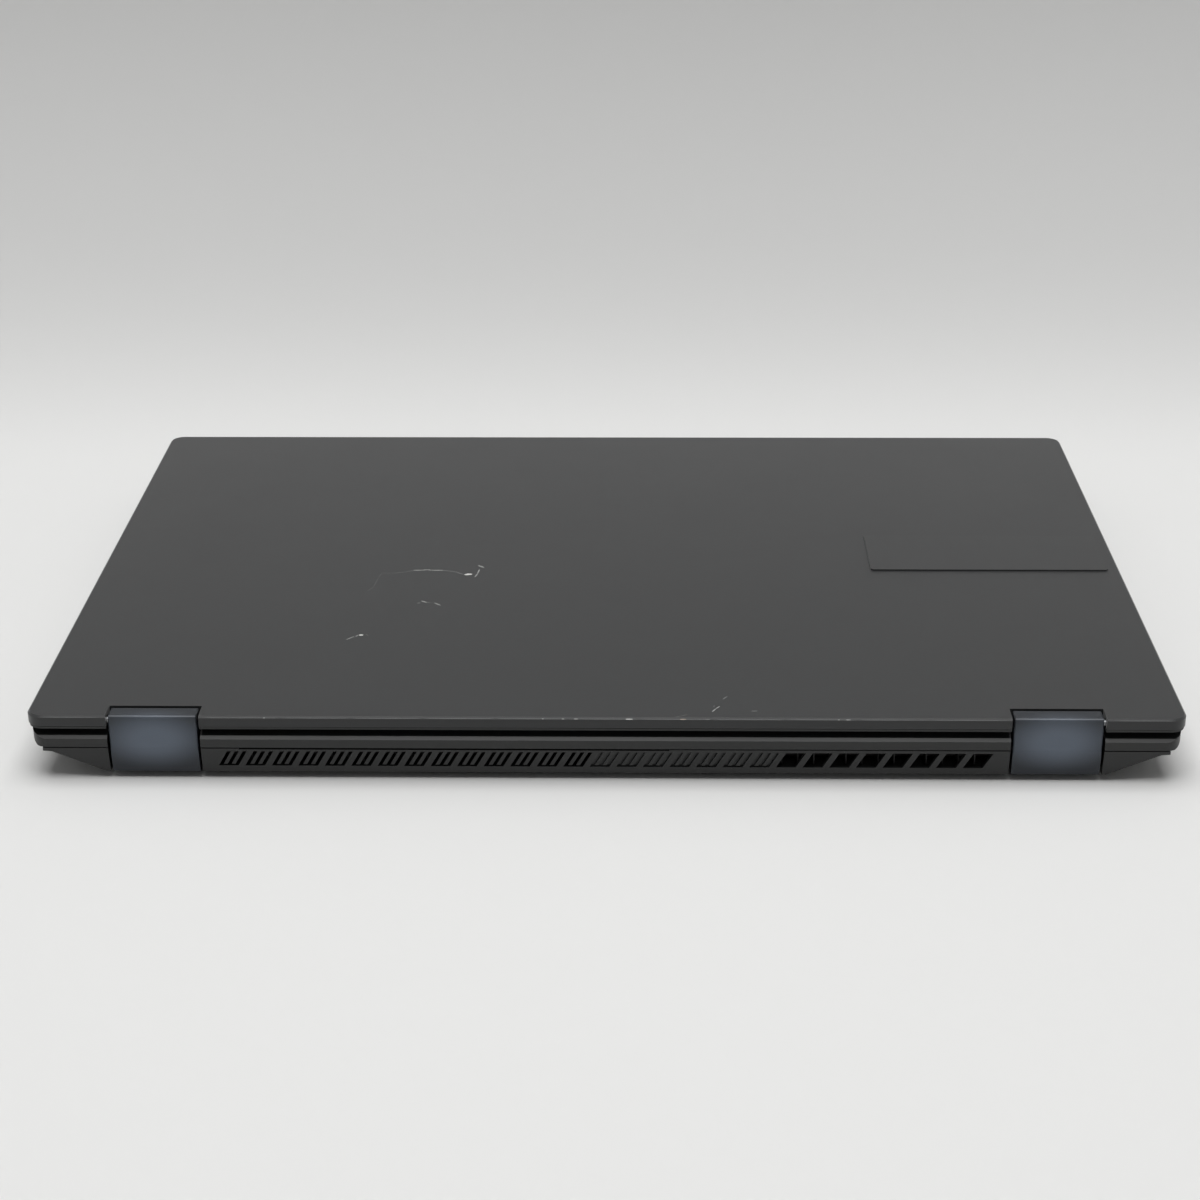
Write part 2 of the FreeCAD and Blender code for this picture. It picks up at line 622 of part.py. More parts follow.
def exhaust_panel():
    """Rear wall between the hinges: combed openings, blind ones, then plain ones, from the right."""
    count = int((2 * (PANEL_SIDE - VENT_MARGIN) - VENT_SLANT - VENT_WIDTH) / VENT_PITCH) + 1
    through = []
    blind = []
    for index in range(count):
        middle = ((count - 1) / 2 - index) * VENT_PITCH
        combed = index < COMBED_VENTS + BLIND_VENTS
        tool = along_y(vent_outline(middle, combed), REAR - PAST, REAR + PAST)
        if COMBED_VENTS <= index < COMBED_VENTS + BLIND_VENTS:
            blind.append(tool)
        else:
            through.append(tool)
    skin = panel_layer(0, PANEL_RECESS).cut(through + blind)
    back = panel_layer(PANEL_RECESS, PANEL_WALL).cut(through)
    return skin.fuse(back).removeSplitter()


# Hinges, right-hand side

def hinge_cap():
    """Hollow cap over a hinge barrel: flush with the lid above and with the rear wall below."""
    x0 = HINGE_X - CAP_WIDTH / 2
    x1 = HINGE_X + CAP_WIDTH / 2
    cap = along_x([
        (CAP_FRONT + CAP_EDGE, LID_TOP), (REAR - CAP_ROUND, LID_TOP),
        bend((REAR - CAP_ROUND, LID_TOP - CAP_ROUND), CAP_ROUND, 90, 0), (REAR, SEAM),
        (REAR - REAR_TUCK, BOTTOM), (CAP_FRONT, BOTTOM), (CAP_FRONT, LID_TOP - CAP_EDGE),
        bend((CAP_FRONT + CAP_EDGE, LID_TOP - CAP_EDGE), CAP_EDGE, 180, 90),
    ], x0, x1)
    plan = along_z([
        (x0, CAP_FRONT), (x1, CAP_FRONT), (x1, REAR - CAP_EDGE), (x1 - CAP_EDGE, REAR),
        (x0 + CAP_EDGE, REAR), (x0, REAR - CAP_EDGE),
    ], BOTTOM, LID_TOP)
    elevation = along_y([
        (x0, BOTTOM), (x1, BOTTOM), (x1, LID_TOP - CAP_EDGE), (x1 - CAP_EDGE, LID_TOP),
        (x0 + CAP_EDGE, LID_TOP), (x0, LID_TOP - CAP_EDGE),
    ], CAP_FRONT, REAR)
    cap = cap.common(plan).common(elevation)
    mouth = LEDGE - CAP_WALL
    hollow = along_x([
        (CAP_FRONT + CAP_WALL, LID_TOP - CAP_WALL), (REAR - CAP_WALL, LID_TOP - CAP_WALL),
        (REAR - CAP_WALL, SEAM), (REAR - REAR_TUCK - CAP_WALL, BOTTOM + CAP_FLOOR),
        (CAP_FRONT - PAST, BOTTOM + CAP_FLOOR), (CAP_FRONT - PAST, mouth), (CAP_FRONT + CAP_WALL, mouth),
    ], x0 + CAP_WALL, x1 - CAP_WALL)
    pin_hole = rod(PIN_RADIUS + PIN_ROOM, x1 - 2 * CAP_WALL, x1 + PAST, AXIS_Y, AXIS_Z)
    return cap.cut([hollow, pin_hole])


def bracket_ends():
    """Ends of the barrel inside its cap."""
    room = CAP_WIDTH / 2 - CAP_WALL - BRACKET_SIDE_ROOM
    return HINGE_X - room, HINGE_X + room


def hinge_bracket():
    """Steel leaf under the deck's posts, bent up into the cap and rolled round the pin."""
    x0, x1 = bracket_ends()
    front_face = AXIS_Y - BARREL_RADIUS
    turn_y = front_face - LEAF_BEND
    turn_z = BRACKET_TOP + LEAF_BEND
    leaf = along_x([
        (front_face, AXIS_Z), (front_face + LEAF, AXIS_Z), (front_face + LEAF, turn_z),
        bend((turn_y, turn_z), LEAF_BEND + LEAF, 0, -90), (AXIS_Y - BRACKET_LENGTH, BRACKET_TOP - LEAF),
        (AXIS_Y - BRACKET_LENGTH, BRACKET_TOP), (turn_y, BRACKET_TOP),
        bend((turn_y, turn_z), LEAF_BEND, -90, 0),
    ], x0, x1)
    barrel = rod(BARREL_RADIUS, x0, x1, AXIS_Y, AXIS_Z)
    return leaf.fuse(barrel).cut(rod(PIN_RADIUS + PIN_CLEARANCE, x0 - PAST, x1 + PAST, AXIS_Y, AXIS_Z))


def arm_ends():
    """Sides of the hinge arm, inside the lid beside its notch."""
    inner = HINGE_X + NOTCH_HALF + LID_WALL + PIN_ROOM
    return inner, inner + ARM_WIDTH


def hinge_arm():
    """Steel arm in the lid with its pin, which turns in the bracket's barrel."""
    x0, x1 = arm_ends()
    barrel_start, barrel_end = bracket_ends()
    block_bottom = BEZEL_TOP + PANEL_ROOM
    arm = along_x([
        (AXIS_Y - ARM_LENGTH, LID_CEILING), (AXIS_Y + ARM_BLOCK, LID_CEILING),
        (AXIS_Y + ARM_BLOCK, block_bottom), (AXIS_Y - ARM_BLOCK, block_bottom),
        (AXIS_Y - 2 * ARM_BLOCK, LID_CEILING - LEAF), (AXIS_Y - ARM_LENGTH, LID_CEILING - LEAF),
    ], x0, x1)
    pin = rod(PIN_RADIUS, barrel_start, x0 + ARM_WIDTH / 2, AXIS_Y, AXIS_Z)
    return arm.fuse(pin)


# Lid

def lid_cover():
    """The outer shell of the lid, with bevelled top edges and a notch round each hinge cap."""
    cover = slab(-LID_HALF, LID_HALF, FRONT, REAR, LID_RIM, LID_TOP, CORNER_RADIUS)
    cover = cover.makeChamfer(LID_BEVEL, level_edges(cover, LID_TOP))
    hollow = along_z(bevelled(-LID_HALF + LID_WALL, LID_HALF - LID_WALL, FRONT + LID_WALL, REAR - LID_WALL,
                              CORNER_RADIUS / 2), LID_RIM - PAST, LID_CEILING)
    x0 = HINGE_X - NOTCH_HALF - LID_WALL
    x1 = HINGE_X + NOTCH_HALF + LID_WALL
    rim = box(x0, x1, REAR - NOTCH_DEPTH - LID_WALL, REAR, LID_RIM - PAST, LID_CEILING)
    hollow = hollow.cut([rim, mirrored(rim)])
    room = PIN_RADIUS + PIN_ROOM
    pin_slot = box(x1 - 2 * LID_WALL, x1 + PIN_ROOM, AXIS_Y - room, AXIS_Y + room,
                   LID_RIM - PAST, AXIS_Z + room)
    notches = hinge_gap(NOTCH_DEPTH, LID_BOTTOM - PAST, LID_TOP + PAST)
    return cover.cut([hollow, notches, pin_slot, mirrored(pin_slot)])


def lid_plate():
    """Bare rectangular plate standing proud of the lid."""
    x0 = -LID_HALF + PLATE_FROM_SIDE
    y1 = REAR - PLATE_FROM_REAR
    outline = bevelled(x0, x0 + PLATE_WIDTH, y1 - PLATE_DEPTH, y1, PLATE_CORNER)
    return along_z(outline, LID_TOP, LID_TOP + PLATE_HEIGHT)


def camera_y():
    return FRONT + LID_WALL + (TOP_BEZEL - PANEL_BORDER - LID_WALL) / 2


def screen_bezel():
    """Frame round the screen, with its notches for the hinge caps and a hole for the camera."""
    frame = slab(-LID_HALF + BEZEL_INSET, LID_HALF - BEZEL_INSET, FRONT + BEZEL_INSET, REAR - BEZEL_INSET,
                 LID_BOTTOM, BEZEL_TOP, CORNER_RADIUS - BEZEL_INSET)
    window = box(-LID_HALF + SIDE_BEZEL, LID_HALF - SIDE_BEZEL, FRONT + TOP_BEZEL, REAR - CHIN,
                 LID_BOTTOM - PAST, BEZEL_TOP + PAST)
    lens = hex_post(CAMERA_LENS + CAMERA_LENS_ROOM, 0, camera_y(), LID_BOTTOM - PAST, BEZEL_TOP + PAST)
    return frame.cut([window, lens, hinge_gap(NOTCH_DEPTH, LID_BOTTOM - PAST, LID_TOP)])


def display_panel():
    return box(-LID_HALF + SIDE_BEZEL - PANEL_BORDER, LID_HALF - SIDE_BEZEL + PANEL_BORDER,
               FRONT + TOP_BEZEL - PANEL_BORDER, REAR - CHIN + PANEL_FOOT,
               BEZEL_TOP + PANEL_ROOM, LID_CEILING - PANEL_BACK_ROOM)


def camera():
    """Narrow circuit board over the screen with its lens looking through the bezel."""
    y = camera_y()
    z0 = BEZEL_TOP + PANEL_ROOM
    board = box(-CAMERA_WIDTH / 2, CAMERA_WIDTH / 2, y - CAMERA_DEPTH / 2, y + CAMERA_DEPTH / 2,
                z0, z0 + CAMERA_HEIGHT)
    return board.fuse(hex_post(CAMERA_LENS, 0, y, LID_BOTTOM + PANEL_ROOM, z0))


def lid_gasket():
    """Rubber strip under the bezel along the front and both sides."""
    z0 = DECK + GASKET_ROOM
    inset = GASKET_INSET
    outer = along_z(bevelled(-LID_HALF + inset, LID_HALF - inset, FRONT + inset, REAR - inset, GASKET_WIDTH),
                    z0, LID_BOTTOM)
    inset += GASKET_WIDTH
    inner = box(-LID_HALF + inset, LID_HALF - inset, FRONT + inset, REAR, z0, LID_BOTTOM)
    rear = box(-LID_HALF, LID_HALF, REAR - CHIN, REAR, z0, LID_BOTTOM)
    return outer.cut([inner, rear])


# Keyboard

def row_span(row, rows):
    """Front and rear of one or more key rows, counted from the rear."""
    def rear_of(index):
        if index == 0:
            return KEYBOARD_REAR
        return KEYBOARD_REAR - FUNCTION_PITCH - (index - 1) * ROW_PITCH
    return rear_of(row + rows), rear_of(row)


def main_key_places():
    places = []
    for row, keys in enumerate(MAIN_ROWS):
        y0, y1 = row_span(row, 1)
        x = -KEYBOARD_HALF
        for node, count, units in keys:
            for _ in range(count):
                places.append((node, x, x + units * KEY_UNIT, y0, y1))
                x += units * KEY_UNIT
    return places


def arrow_key_places():
    """Half-height arrow keys at the right end of the last main row."""
    y0, y1 = row_span(len(MAIN_ROWS) - 1, 1)
    middle = (y0 + y1) / 2
    left = -KEYBOARD_HALF + (MAIN_UNITS - 3) * KEY_UNIT
    places = [("arrow_keys", left + step * KEY_UNIT, left + (step + 1) * KEY_UNIT, y0, middle)
              for step in range(3)]
    places.append(("arrow_keys", left + KEY_UNIT, left + 2 * KEY_UNIT, middle, y1))
    return places


def number_pad_places():
    """Number pad with tall plus and enter keys and a wide zero; the power button is in its corner."""
    cells = []
    for row in range(1, len(MAIN_ROWS) - 1):
        cells += [("number_pad_keys", column, 1, row, 1) for column in range(NUMBER_COLUMNS - 1)]
    last_row = len(MAIN_ROWS) - 1
    last = NUMBER_COLUMNS - 1
    cells += [("function_keys", column, 1, 0, 1) for column in range(last)]
    cells += [("power_button", last, 1, 0, 1), ("number_pad_keys", last, 1, 1, 1)]
    cells += [("number_pad_keys", last, 1, 2, 2), ("number_pad_keys", last, 1, 4, 2)]
    cells += [("number_pad_keys", 0, 2, last_row, 1), ("number_pad_keys", 2, 1, last_row, 1)]
    left = KEYBOARD_HALF - NUMBER_COLUMNS * NUMBER_UNIT
    places = []
    for node, column, columns, row, rows in cells:
        y0, y1 = row_span(row, rows)
        x0 = left + column * NUMBER_UNIT
        places.append((node, x0, x0 + columns * NUMBER_UNIT, y0, y1))
    return places


def key_sides(place, grow):
    x0, x1, y0, y1 = place
    side = KEY_GAP / 2 - grow
    return x0 + side, x1 - side, y0 + side, y1 - side


def keycap(place):
    """A key that tapers towards its top, closed from flat faces."""
    rings = []
    for grow, z in ((0, KEY_BOTTOM), (-KEY_TAPER, KEY_TOP)):
        x0, x1, y0, y1 = key_sides(place, grow)
        rings.append([V(x0, y0, z), V(x1, y0, z), V(x1, y1, z), V(x0, y1, z)])
    lower, upper = rings
    outlines = [lower, upper]
    for corner in range(4):
        outlines.append([lower[corner - 1], lower[corner], upper[corner], upper[corner - 1]])
    faces = [Part.Face(Part.makePolygon(outline + outline[:1])) for outline in outlines]
    return Part.Solid(Part.Shell(faces))


def keyboard_outline(grow):
    return (-KEYBOARD_HALF - grow, KEYBOARD_HALF + grow, KEYBOARD_FRONT - grow, KEYBOARD_REAR + grow)


def keyboard_frame(places):
    """Plate under the deck with a hole for each key, and a rim that stands on the keyboard plate."""
    grow = OPENING_MARGIN + FRAME_FLANGE
    plate = box(*keyboard_outline(grow), KEY_PLATE_TOP, DECK_UNDER)
    well = box(*keyboard_outline(grow - RIM_WIDTH), KEY_PLATE_TOP, FRAME_BOTTOM)
    holes = [box(*key_sides(place[1:], KEY_ROOM), FRAME_BOTTOM, DECK_UNDER) for place in places]
    return plate.cut([well] + holes)


def keyboard_plate():
    """Steel plate under the keys, with six-sided standoffs that carry the motherboard and the fans."""
    plate = box(*keyboard_outline(OPENING_MARGIN + FRAME_FLANGE), KEY_PLATE_BOTTOM, KEY_PLATE_TOP)
    front = BOARD_FRONT + STANDOFF_IN
    fan_side = FAN_SIZE / 2 - STANDOFF_IN
    fan_y = FAN_FRONT + FAN_CORNER
    standoffs = [
        (-BOARD_CORE + STANDOFF_IN, BOARD_REAR, BOARD_TOP),
        (BOARD_CORE - STANDOFF_IN, BOARD_REAR, BOARD_TOP),
        (0, front, BOARD_TOP),
        (-BOARD_OUTER + 2 * STANDOFF_IN, front, BOARD_TOP),
        (BOARD_OUTER + STANDOFF_IN, front, BOARD_TOP),
        (BOARD_OUTER + STANDOFF_IN, BOARD_REAR, BOARD_TOP),
        (-BOARD_OUTER - STANDOFF_IN, BOARD_REAR, BOARD_TOP),
        (FAN_X - fan_side, fan_y, FAN_TOP),
        (FAN_X + fan_side, fan_y, FAN_TOP),
        (-FAN_X - fan_side, fan_y, FAN_TOP),
        (-FAN_X + fan_side, fan_y, FAN_TOP),
    ]
    return plate.fuse([hex_post(STANDOFF_RADIUS, x, y, z0, KEY_PLATE_BOTTOM) for x, y, z0 in standoffs])


# Touchpad

def pad_outline(grow):
    return (-PAD_WIDTH / 2 - grow, PAD_WIDTH / 2 + grow, PAD_FRONT - grow, PAD_REAR + grow)


def touchpad():
    return along_z(rounded(*pad_outline(0), PAD_CORNER), PAD_BOTTOM, PAD_TOP)


def touchpad_tray():
    """Tray under the touchpad, hung from the deck, with the bar that the pad tips on."""
    tray = box(*pad_outline(TRAY_ROOM + TRAY_WALL), TRAY_BOTTOM, DECK_UNDER)
    tray = tray.cut(box(*pad_outline(TRAY_ROOM), TRAY_FLOOR_TOP, DECK_UNDER))
    bar = box(-PAD_WIDTH / 2 + PAD_CORNER, PAD_WIDTH / 2 - PAD_CORNER, PAD_REAR - PAD_PIVOT_IN, PAD_REAR,
              TRAY_FLOOR_TOP, PAD_BOTTOM)
    return tray.fuse(bar)


# Cooling, right-hand side

def fan_housing():
    """Flat blower case, open below at its inlet and behind towards the fins."""
    def outline(inset, rear):
        half = FAN_SIZE / 2 - inset
        front = FAN_FRONT + inset
        return [
            (FAN_X - half, rear), (FAN_X - half, FAN_FRONT + FAN_CORNER),
            (FAN_X - half + FAN_CORNER - inset, front), (FAN_X + half - FAN_CORNER + inset, front),
            (FAN_X + half, FAN_FRONT + FAN_CORNER), (FAN_X + half, rear),
        ]

    z0 = FAN_BOTTOM + FAN_WALL
    z1 = FAN_TOP - FAN_WALL
    case = along_z(outline(0, FAN_REAR), FAN_BOTTOM, FAN_TOP)
    case = case.cut([along_z(outline(FAN_WALL, FAN_REAR + PAST), z0, z1),
                     along_z(ring_points(FAN_INLET, FAN_X, FAN_Y, INLET_SIDES), FAN_BOTTOM - PAST, z0)])
    return case.fuse(post(FAN_POST, FAN_X, FAN_Y, z0, z1))


def fan_blade(radius, z0, z1):
    """One swept blade from the hub to its tip, bent at its middle."""
    middle = (FAN_HUB + radius) / 2
    width = math.degrees(FAN_BLADE / middle)

    def at(distance, degrees):
        turn = math.radians(degrees)
        return FAN_X + distance * math.cos(turn), FAN_Y + distance * math.sin(turn)

    return along_z([
        at(FAN_HUB - FAN_BLADE, 0), at(middle, BLADE_BOW), at(radius, FAN_SWEEP),
        at(radius, FAN_SWEEP + width), at(middle, BLADE_BOW + width), at(FAN_HUB - FAN_BLADE, width),
    ], z0, z1)


def fan_rotor():
    """Hub with swept blades, turning on the housing's post."""
    z0 = FAN_BOTTOM + FAN_WALL + FAN_FACE_ROOM
    z1 = FAN_TOP - FAN_WALL - FAN_FACE_ROOM
    blade = fan_blade(FAN_SIZE / 2 - FAN_WALL - FAN_TIP_ROOM, z0, z1)
    blades = []
    for index in range(FAN_BLADES):
        turned = blade.copy()
        turned.rotate(V(FAN_X, FAN_Y, 0), V(0, 0, 1), index * 360 / FAN_BLADES)
        blades.append(turned)
    hub = along_z(ring_points(FAN_HUB, FAN_X, FAN_Y, FAN_BLADES), z0, z1).fuse(blades)
    return hub.cut(post(FAN_POST + FAN_POST_CLEARANCE, FAN_X, FAN_Y, z0 - PAST, z1 + PAST))


def fin_stack():
    """Thin fins under one top plate, notched at the front for the heat pipe."""
    x0 = FAN_X - FIN_WIDTH / 2
    profile = [
        (FAN_REAR, FAN_TOP), (FIN_REAR, FAN_TOP), (FIN_REAR, FAN_BOTTOM),
        (FAN_REAR + PIPE_WIDTH + PIPE_ROOM, FAN_BOTTOM), (FAN_REAR + PIPE_WIDTH + PIPE_ROOM, PIPE_TOP),
        (FAN_REAR, PIPE_TOP),
    ]
    fins = []
    for index in range(int((FIN_WIDTH - FIN_THICKNESS) / FIN_PITCH) + 1):
        x = x0 + index * FIN_PITCH
        fins.append(along_x(profile, x, x + FIN_THICKNESS))
    plate = box(x0, x0 + FIN_WIDTH, FAN_REAR, FIN_REAR, FAN_TOP - FIN_THICKNESS, FAN_TOP)
    return plate.fuse(fins)


def heat_pipe():
    """Flattened pipe from the cold plate back to the fins and out along them."""
    x_mid = PIPE_FROM_CENTRE
    y_mid = FAN_REAR + PIPE_WIDTH / 2 + PIPE_ROOM / 2
    half = PIPE_WIDTH / 2
    start = PROCESSOR_Y - PROCESSOR_DEPTH / 2
    turn = (x_mid + half + PIPE_BEND, y_mid - half - PIPE_BEND)
    return along_z([
        (x_mid - half, start), (x_mid + half, start), (x_mid + half, turn[1]),
        bend(turn, PIPE_BEND, 180, 90), (FAN_X + FIN_WIDTH / 2, y_mid - half),
        (FAN_X + FIN_WIDTH / 2, y_mid + half), (turn[0], y_mid + half),
        bend(turn, PIPE_BEND + PIPE_WIDTH, 90, 180),
    ], PIPE_BOTTOM, PIPE_TOP)


def heat_pipes():
    pipe = heat_pipe()
    return Part.makeCompound([pipe, mirrored(pipe)])


def processor_outline(grow):
    return (-PROCESSOR_WIDTH / 2 - grow, PROCESSOR_WIDTH / 2 + grow,
            PROCESSOR_Y - PROCESSOR_DEPTH / 2 - grow, PROCESSOR_Y + PROCESSOR_DEPTH / 2 + grow)


def processor():
    return box(*processor_outline(0), COLD_PLATE_TOP, BOARD_BOTTOM)


def cold_plate():
    outline = bevelled(*processor_outline(COLD_PLATE_BORDER), COLD_PLATE_BORDER)
    return along_z(outline, PIPE_TOP, COLD_PLATE_TOP)


# Circuit boards and modules

def motherboard():
    """Board between and in front of the fans, with a wing to the right-hand sockets."""
    return along_z([
        (-BOARD_OUTER + BOARD_GAP, BOARD_FRONT), (BOARD_SIDE, BOARD_FRONT), (BOARD_SIDE, PORT_WING_REAR),
        (BOARD_OUTER, PORT_WING_REAR), (BOARD_OUTER, BOARD_REAR), (BOARD_CORE, BOARD_REAR),
        (BOARD_CORE, CORE_REAR), (-BOARD_CORE, CORE_REAR), (-BOARD_CORE, BOARD_REAR),
        (-BOARD_OUTER + BOARD_GAP, BOARD_REAR),
    ], BOARD_BOTTOM, BOARD_TOP)


def module(x0, width, depth, height):
    """A plug-in card under the board: its socket against the board, the card standing off it."""
    z0 = BOARD_BOTTOM - height
    y0 = BOARD_FRONT + MODULE_SOCKET
    card = box(x0, x0 + width, y0, y0 + depth, z0, z0 + MODULE_BOARD)
    return card.fuse(box(x0, x0 + width, y0 - MODULE_SOCKET, y0 + MODULE_SOCKET, z0, BOARD_BOTTOM))


def memory_module():
    return module(MEMORY_LEFT, MEMORY_WIDTH, MEMORY_DEPTH, MEMORY_HEIGHT)


def wireless_card():
    return module(WIRELESS_LEFT, WIRELESS_WIDTH, WIRELESS_DEPTH, DRIVE_HEIGHT)


def solid_state_drive():
    """Long narrow card lying along X under the board's left strip."""
    x1 = DRIVE_LEFT + DRIVE_DEPTH
    y0 = BOARD_FRONT + MODULE_SOCKET
    z0 = BOARD_BOTTOM - DRIVE_HEIGHT
    card = box(DRIVE_LEFT, x1, y0, y0 + DRIVE_WIDTH, z0, z0 + MODULE_BOARD)
    return card.fuse(box(x1 - MODULE_SOCKET, x1, y0, y0 + DRIVE_WIDTH, z0, BOARD_BOTTOM))


def io_board_span():
    """Front and rear of the left-hand socket board."""
    rear = REAR - LEFT_USB_FROM_REAR + USB_A_WIDTH
    return rear - IO_BOARD_DEPTH, rear


def io_board():
    y0, y1 = io_board_span()
    return box(-BOARD_SIDE, -BOARD_OUTER, y0, y1, BOARD_BOTTOM, BOARD_TOP)


def io_ribbon():
    """Flat cable that arches from the socket board to the motherboard."""
    y0 = io_board_span()[0] + BOARD_GAP
    x0 = -BOARD_OUTER - RIBBON_END
    x1 = -BOARD_OUTER + BOARD_GAP + RIBBON_END
    middle = (x0 + x1) / 2
    low = BOARD_TOP
    thick = RIBBON_THICKNESS
    return along_y([
        (x0, low), (x0 + RIBBON_END, low), (middle, low + RIBBON_RISE), (x1 - RIBBON_END, low), (x1, low),
        (x1, low + thick), (x1 - RIBBON_END, low + thick), (middle, low + RIBBON_RISE + thick),
        (x0 + RIBBON_END, low + thick), (x0, low + thick),
    ], y0, y0 + RIBBON_WIDTH)


def battery():
    """Flat pack of cells, parted by shallow grooves."""
    z0 = FLOOR_TOP + BATTERY_FLOOR_ROOM
    half = BATTERY_WIDTH / 2
    pack = box(-half, half, BATTERY_FRONT, BATTERY_REAR, z0, BATTERY_TOP)
    cell = BATTERY_WIDTH / BATTERY_CELLS
    grooves = [box(-half + index * cell - CELL_GROOVE / 2, -half + index * cell + CELL_GROOVE / 2,
                   BATTERY_FRONT - PAST, BATTERY_REAR + PAST, BATTERY_TOP - CELL_GROOVE, BATTERY_TOP + PAST)
               for index in range(1, BATTERY_CELLS)]
    return pack.cut(grooves)


def speaker_sides():
    """Sides of the right-hand speaker, beside the battery."""
    x0 = BATTERY_WIDTH / 2 + BOARD_GAP
    return x0, x0 + SPEAKER_WIDTH


def speaker():
    """Sealed speaker box under the deck, with a recess for its diaphragm facing down."""
    x0, x1 = speaker_sides()
    z0 = DECK_UNDER - SPEAKER_HEIGHT
    case = box(x0, x1, SPEAKER_FRONT, SPEAKER_REAR, z0, DECK_UNDER)
    recess = box(x0 + SPEAKER_MARGIN, x1 - SPEAKER_MARGIN, SPEAKER_FRONT + SPEAKER_MARGIN,
                 SPEAKER_REAR - SPEAKER_MARGIN, z0 - PAST, z0 + SPEAKER_RECESS)
    return case.cut(recess)


# Sockets, made on the right-hand side

def socket_outline(y, width, height, cut, grow):
    """A socket's outline seen from the side, with its corners cut."""
    return bevelled(y - width / 2 - grow, y + width / 2 + grow, SOCKET_MIDDLE - height / 2 - grow,
                    SOCKET_MIDDLE + height / 2 + grow, cut)


def socket_shapes():
    """Each socket: side, middle, width, height and the cut at its corners."""
    return {
        "power_inlet": (1, REAR - POWER_FROM_REAR, ROUND_SOCKET, ROUND_SOCKET, ROUND_SOCKET * OCTAGON),
        "video_socket": (1, REAR - VIDEO_FROM_REAR, VIDEO_WIDTH, VIDEO_HEIGHT, 0),
        "usb_a_socket_right": (1, REAR - USB_A_FROM_REAR, USB_A_WIDTH, USB_A_HEIGHT, 0),
        "usb_c_socket": (1, REAR - USB_C_FROM_REAR, USB_C_WIDTH, USB_C_HEIGHT, USB_C_HEIGHT * OCTAGON),
        "audio_jack": (1, REAR - AUDIO_FROM_REAR, ROUND_SOCKET, ROUND_SOCKET, ROUND_SOCKET * OCTAGON),
        "usb_a_socket_left": (-1, REAR - LEFT_USB_FROM_REAR, USB_A_WIDTH, USB_A_HEIGHT, 0),
    }


def socket_cuts():
    """Openings in the case for all sockets."""
    cuts = []
    for side, *shape in socket_shapes().values():
        cut = along_x(socket_outline(*shape, PORT_ROOM), SOCKET_REAR - PORT_ROOM, BASE_HALF + PAST)
        cuts.append(cut if side > 0 else mirrored(cut))
    return cuts


def socket_tail(y, width):
    """The socket's solder tail on the circuit board."""
    half = width / 2 - TAIL_INSET
    return box(SOCKET_REAR - SOCKET_TAIL, SOCKET_REAR, y - half, y + half,
               BOARD_TOP, BOARD_TOP + TAIL_HEIGHT)


def tongue_socket(name, tongue):
    """A sheet-metal socket round a flat contact tongue."""
    side, y, width, height, cut = socket_shapes()[name]
    shell = along_x(socket_outline(y, width, height, cut, 0), SOCKET_REAR, SOCKET_FACE)
    inside = socket_outline(y, width, height, cut, -SOCKET_WALL)
    shell = shell.cut(along_x(inside, SOCKET_REAR + SOCKET_BACK, SOCKET_FACE + PAST))
    half = width / 2 - TONGUE_INSET
    blade = box(SOCKET_REAR, SOCKET_FACE - SOCKET_SETBACK, y - half, y + half,
                SOCKET_MIDDLE - tongue / 2, SOCKET_MIDDLE + tongue / 2)
    shape = shell.fuse([blade, socket_tail(y, width)])
    return shape if side > 0 else mirrored(shape)


def round_socket(name, bore, pin):
    """A round socket with a blind bore and, if it has one, a middle pin."""
    side, y, width, height, cut = socket_shapes()[name]
    shape = along_x(socket_outline(y, width, height, cut, 0), SOCKET_REAR, SOCKET_FACE)
    shape = shape.cut(rod(bore / 2, SOCKET_REAR + SOCKET_BACK, SOCKET_FACE + PAST, y, SOCKET_MIDDLE))
    pieces = [socket_tail(y, width)]
    if pin:
        pieces.append(rod(pin / 2, SOCKET_REAR, SOCKET_FACE - 2 * SOCKET_SETBACK, y, SOCKET_MIDDLE))
    shape = shape.fuse(pieces)
    return shape if side > 0 else mirrored(shape)


# Feet

def foot(x, y, length, width):
    """A rubber bar with cut corners and its lower edge eased."""
    outline = bevelled(x - length / 2, x + length / 2, y - width / 2, y + width / 2, FOOT_CORNER)
    bar = along_z(outline, 0, FOOT_HEIGHT)
    return bar.makeChamfer(FOOT_EDGE, level_edges(bar, 0))


def feet(x, y, length, width):
    right = foot(x, y, length, width)
    return Part.makeCompound([right, mirrored(right)])


def rear_feet():
    y = REAR - REAR_TUCK - REAR_FOOT_FROM_REAR - REAR_FOOT_WIDTH / 2
    return feet(REAR_FOOT_FROM_CENTRE, y, REAR_FOOT_LENGTH, REAR_FOOT_WIDTH)


def front_feet():
    y = BASE_FRONT + FRONT_SLOPE_INSET + FRONT_FOOT_FROM_SLOPE + FRONT_FOOT_WIDTH / 2
    return feet(FRONT_FOOT_FROM_CENTRE, y, FRONT_FOOT_LENGTH, FRONT_FOOT_WIDTH)


# All pieces

def sided(name, shape):
    """A right-hand piece and its mirror image."""
    return {name + "_right": shape, name + "_left": mirrored(shape)}


def key_nodes(places):
    """All keys, grouped by node."""
    groups = {}
    for node, *place in places:
        groups.setdefault(node, []).append(keycap(place))
    return {node: keys[0] if len(keys) == 1 else Part.makeCompound(keys) for node, keys in groups.items()}


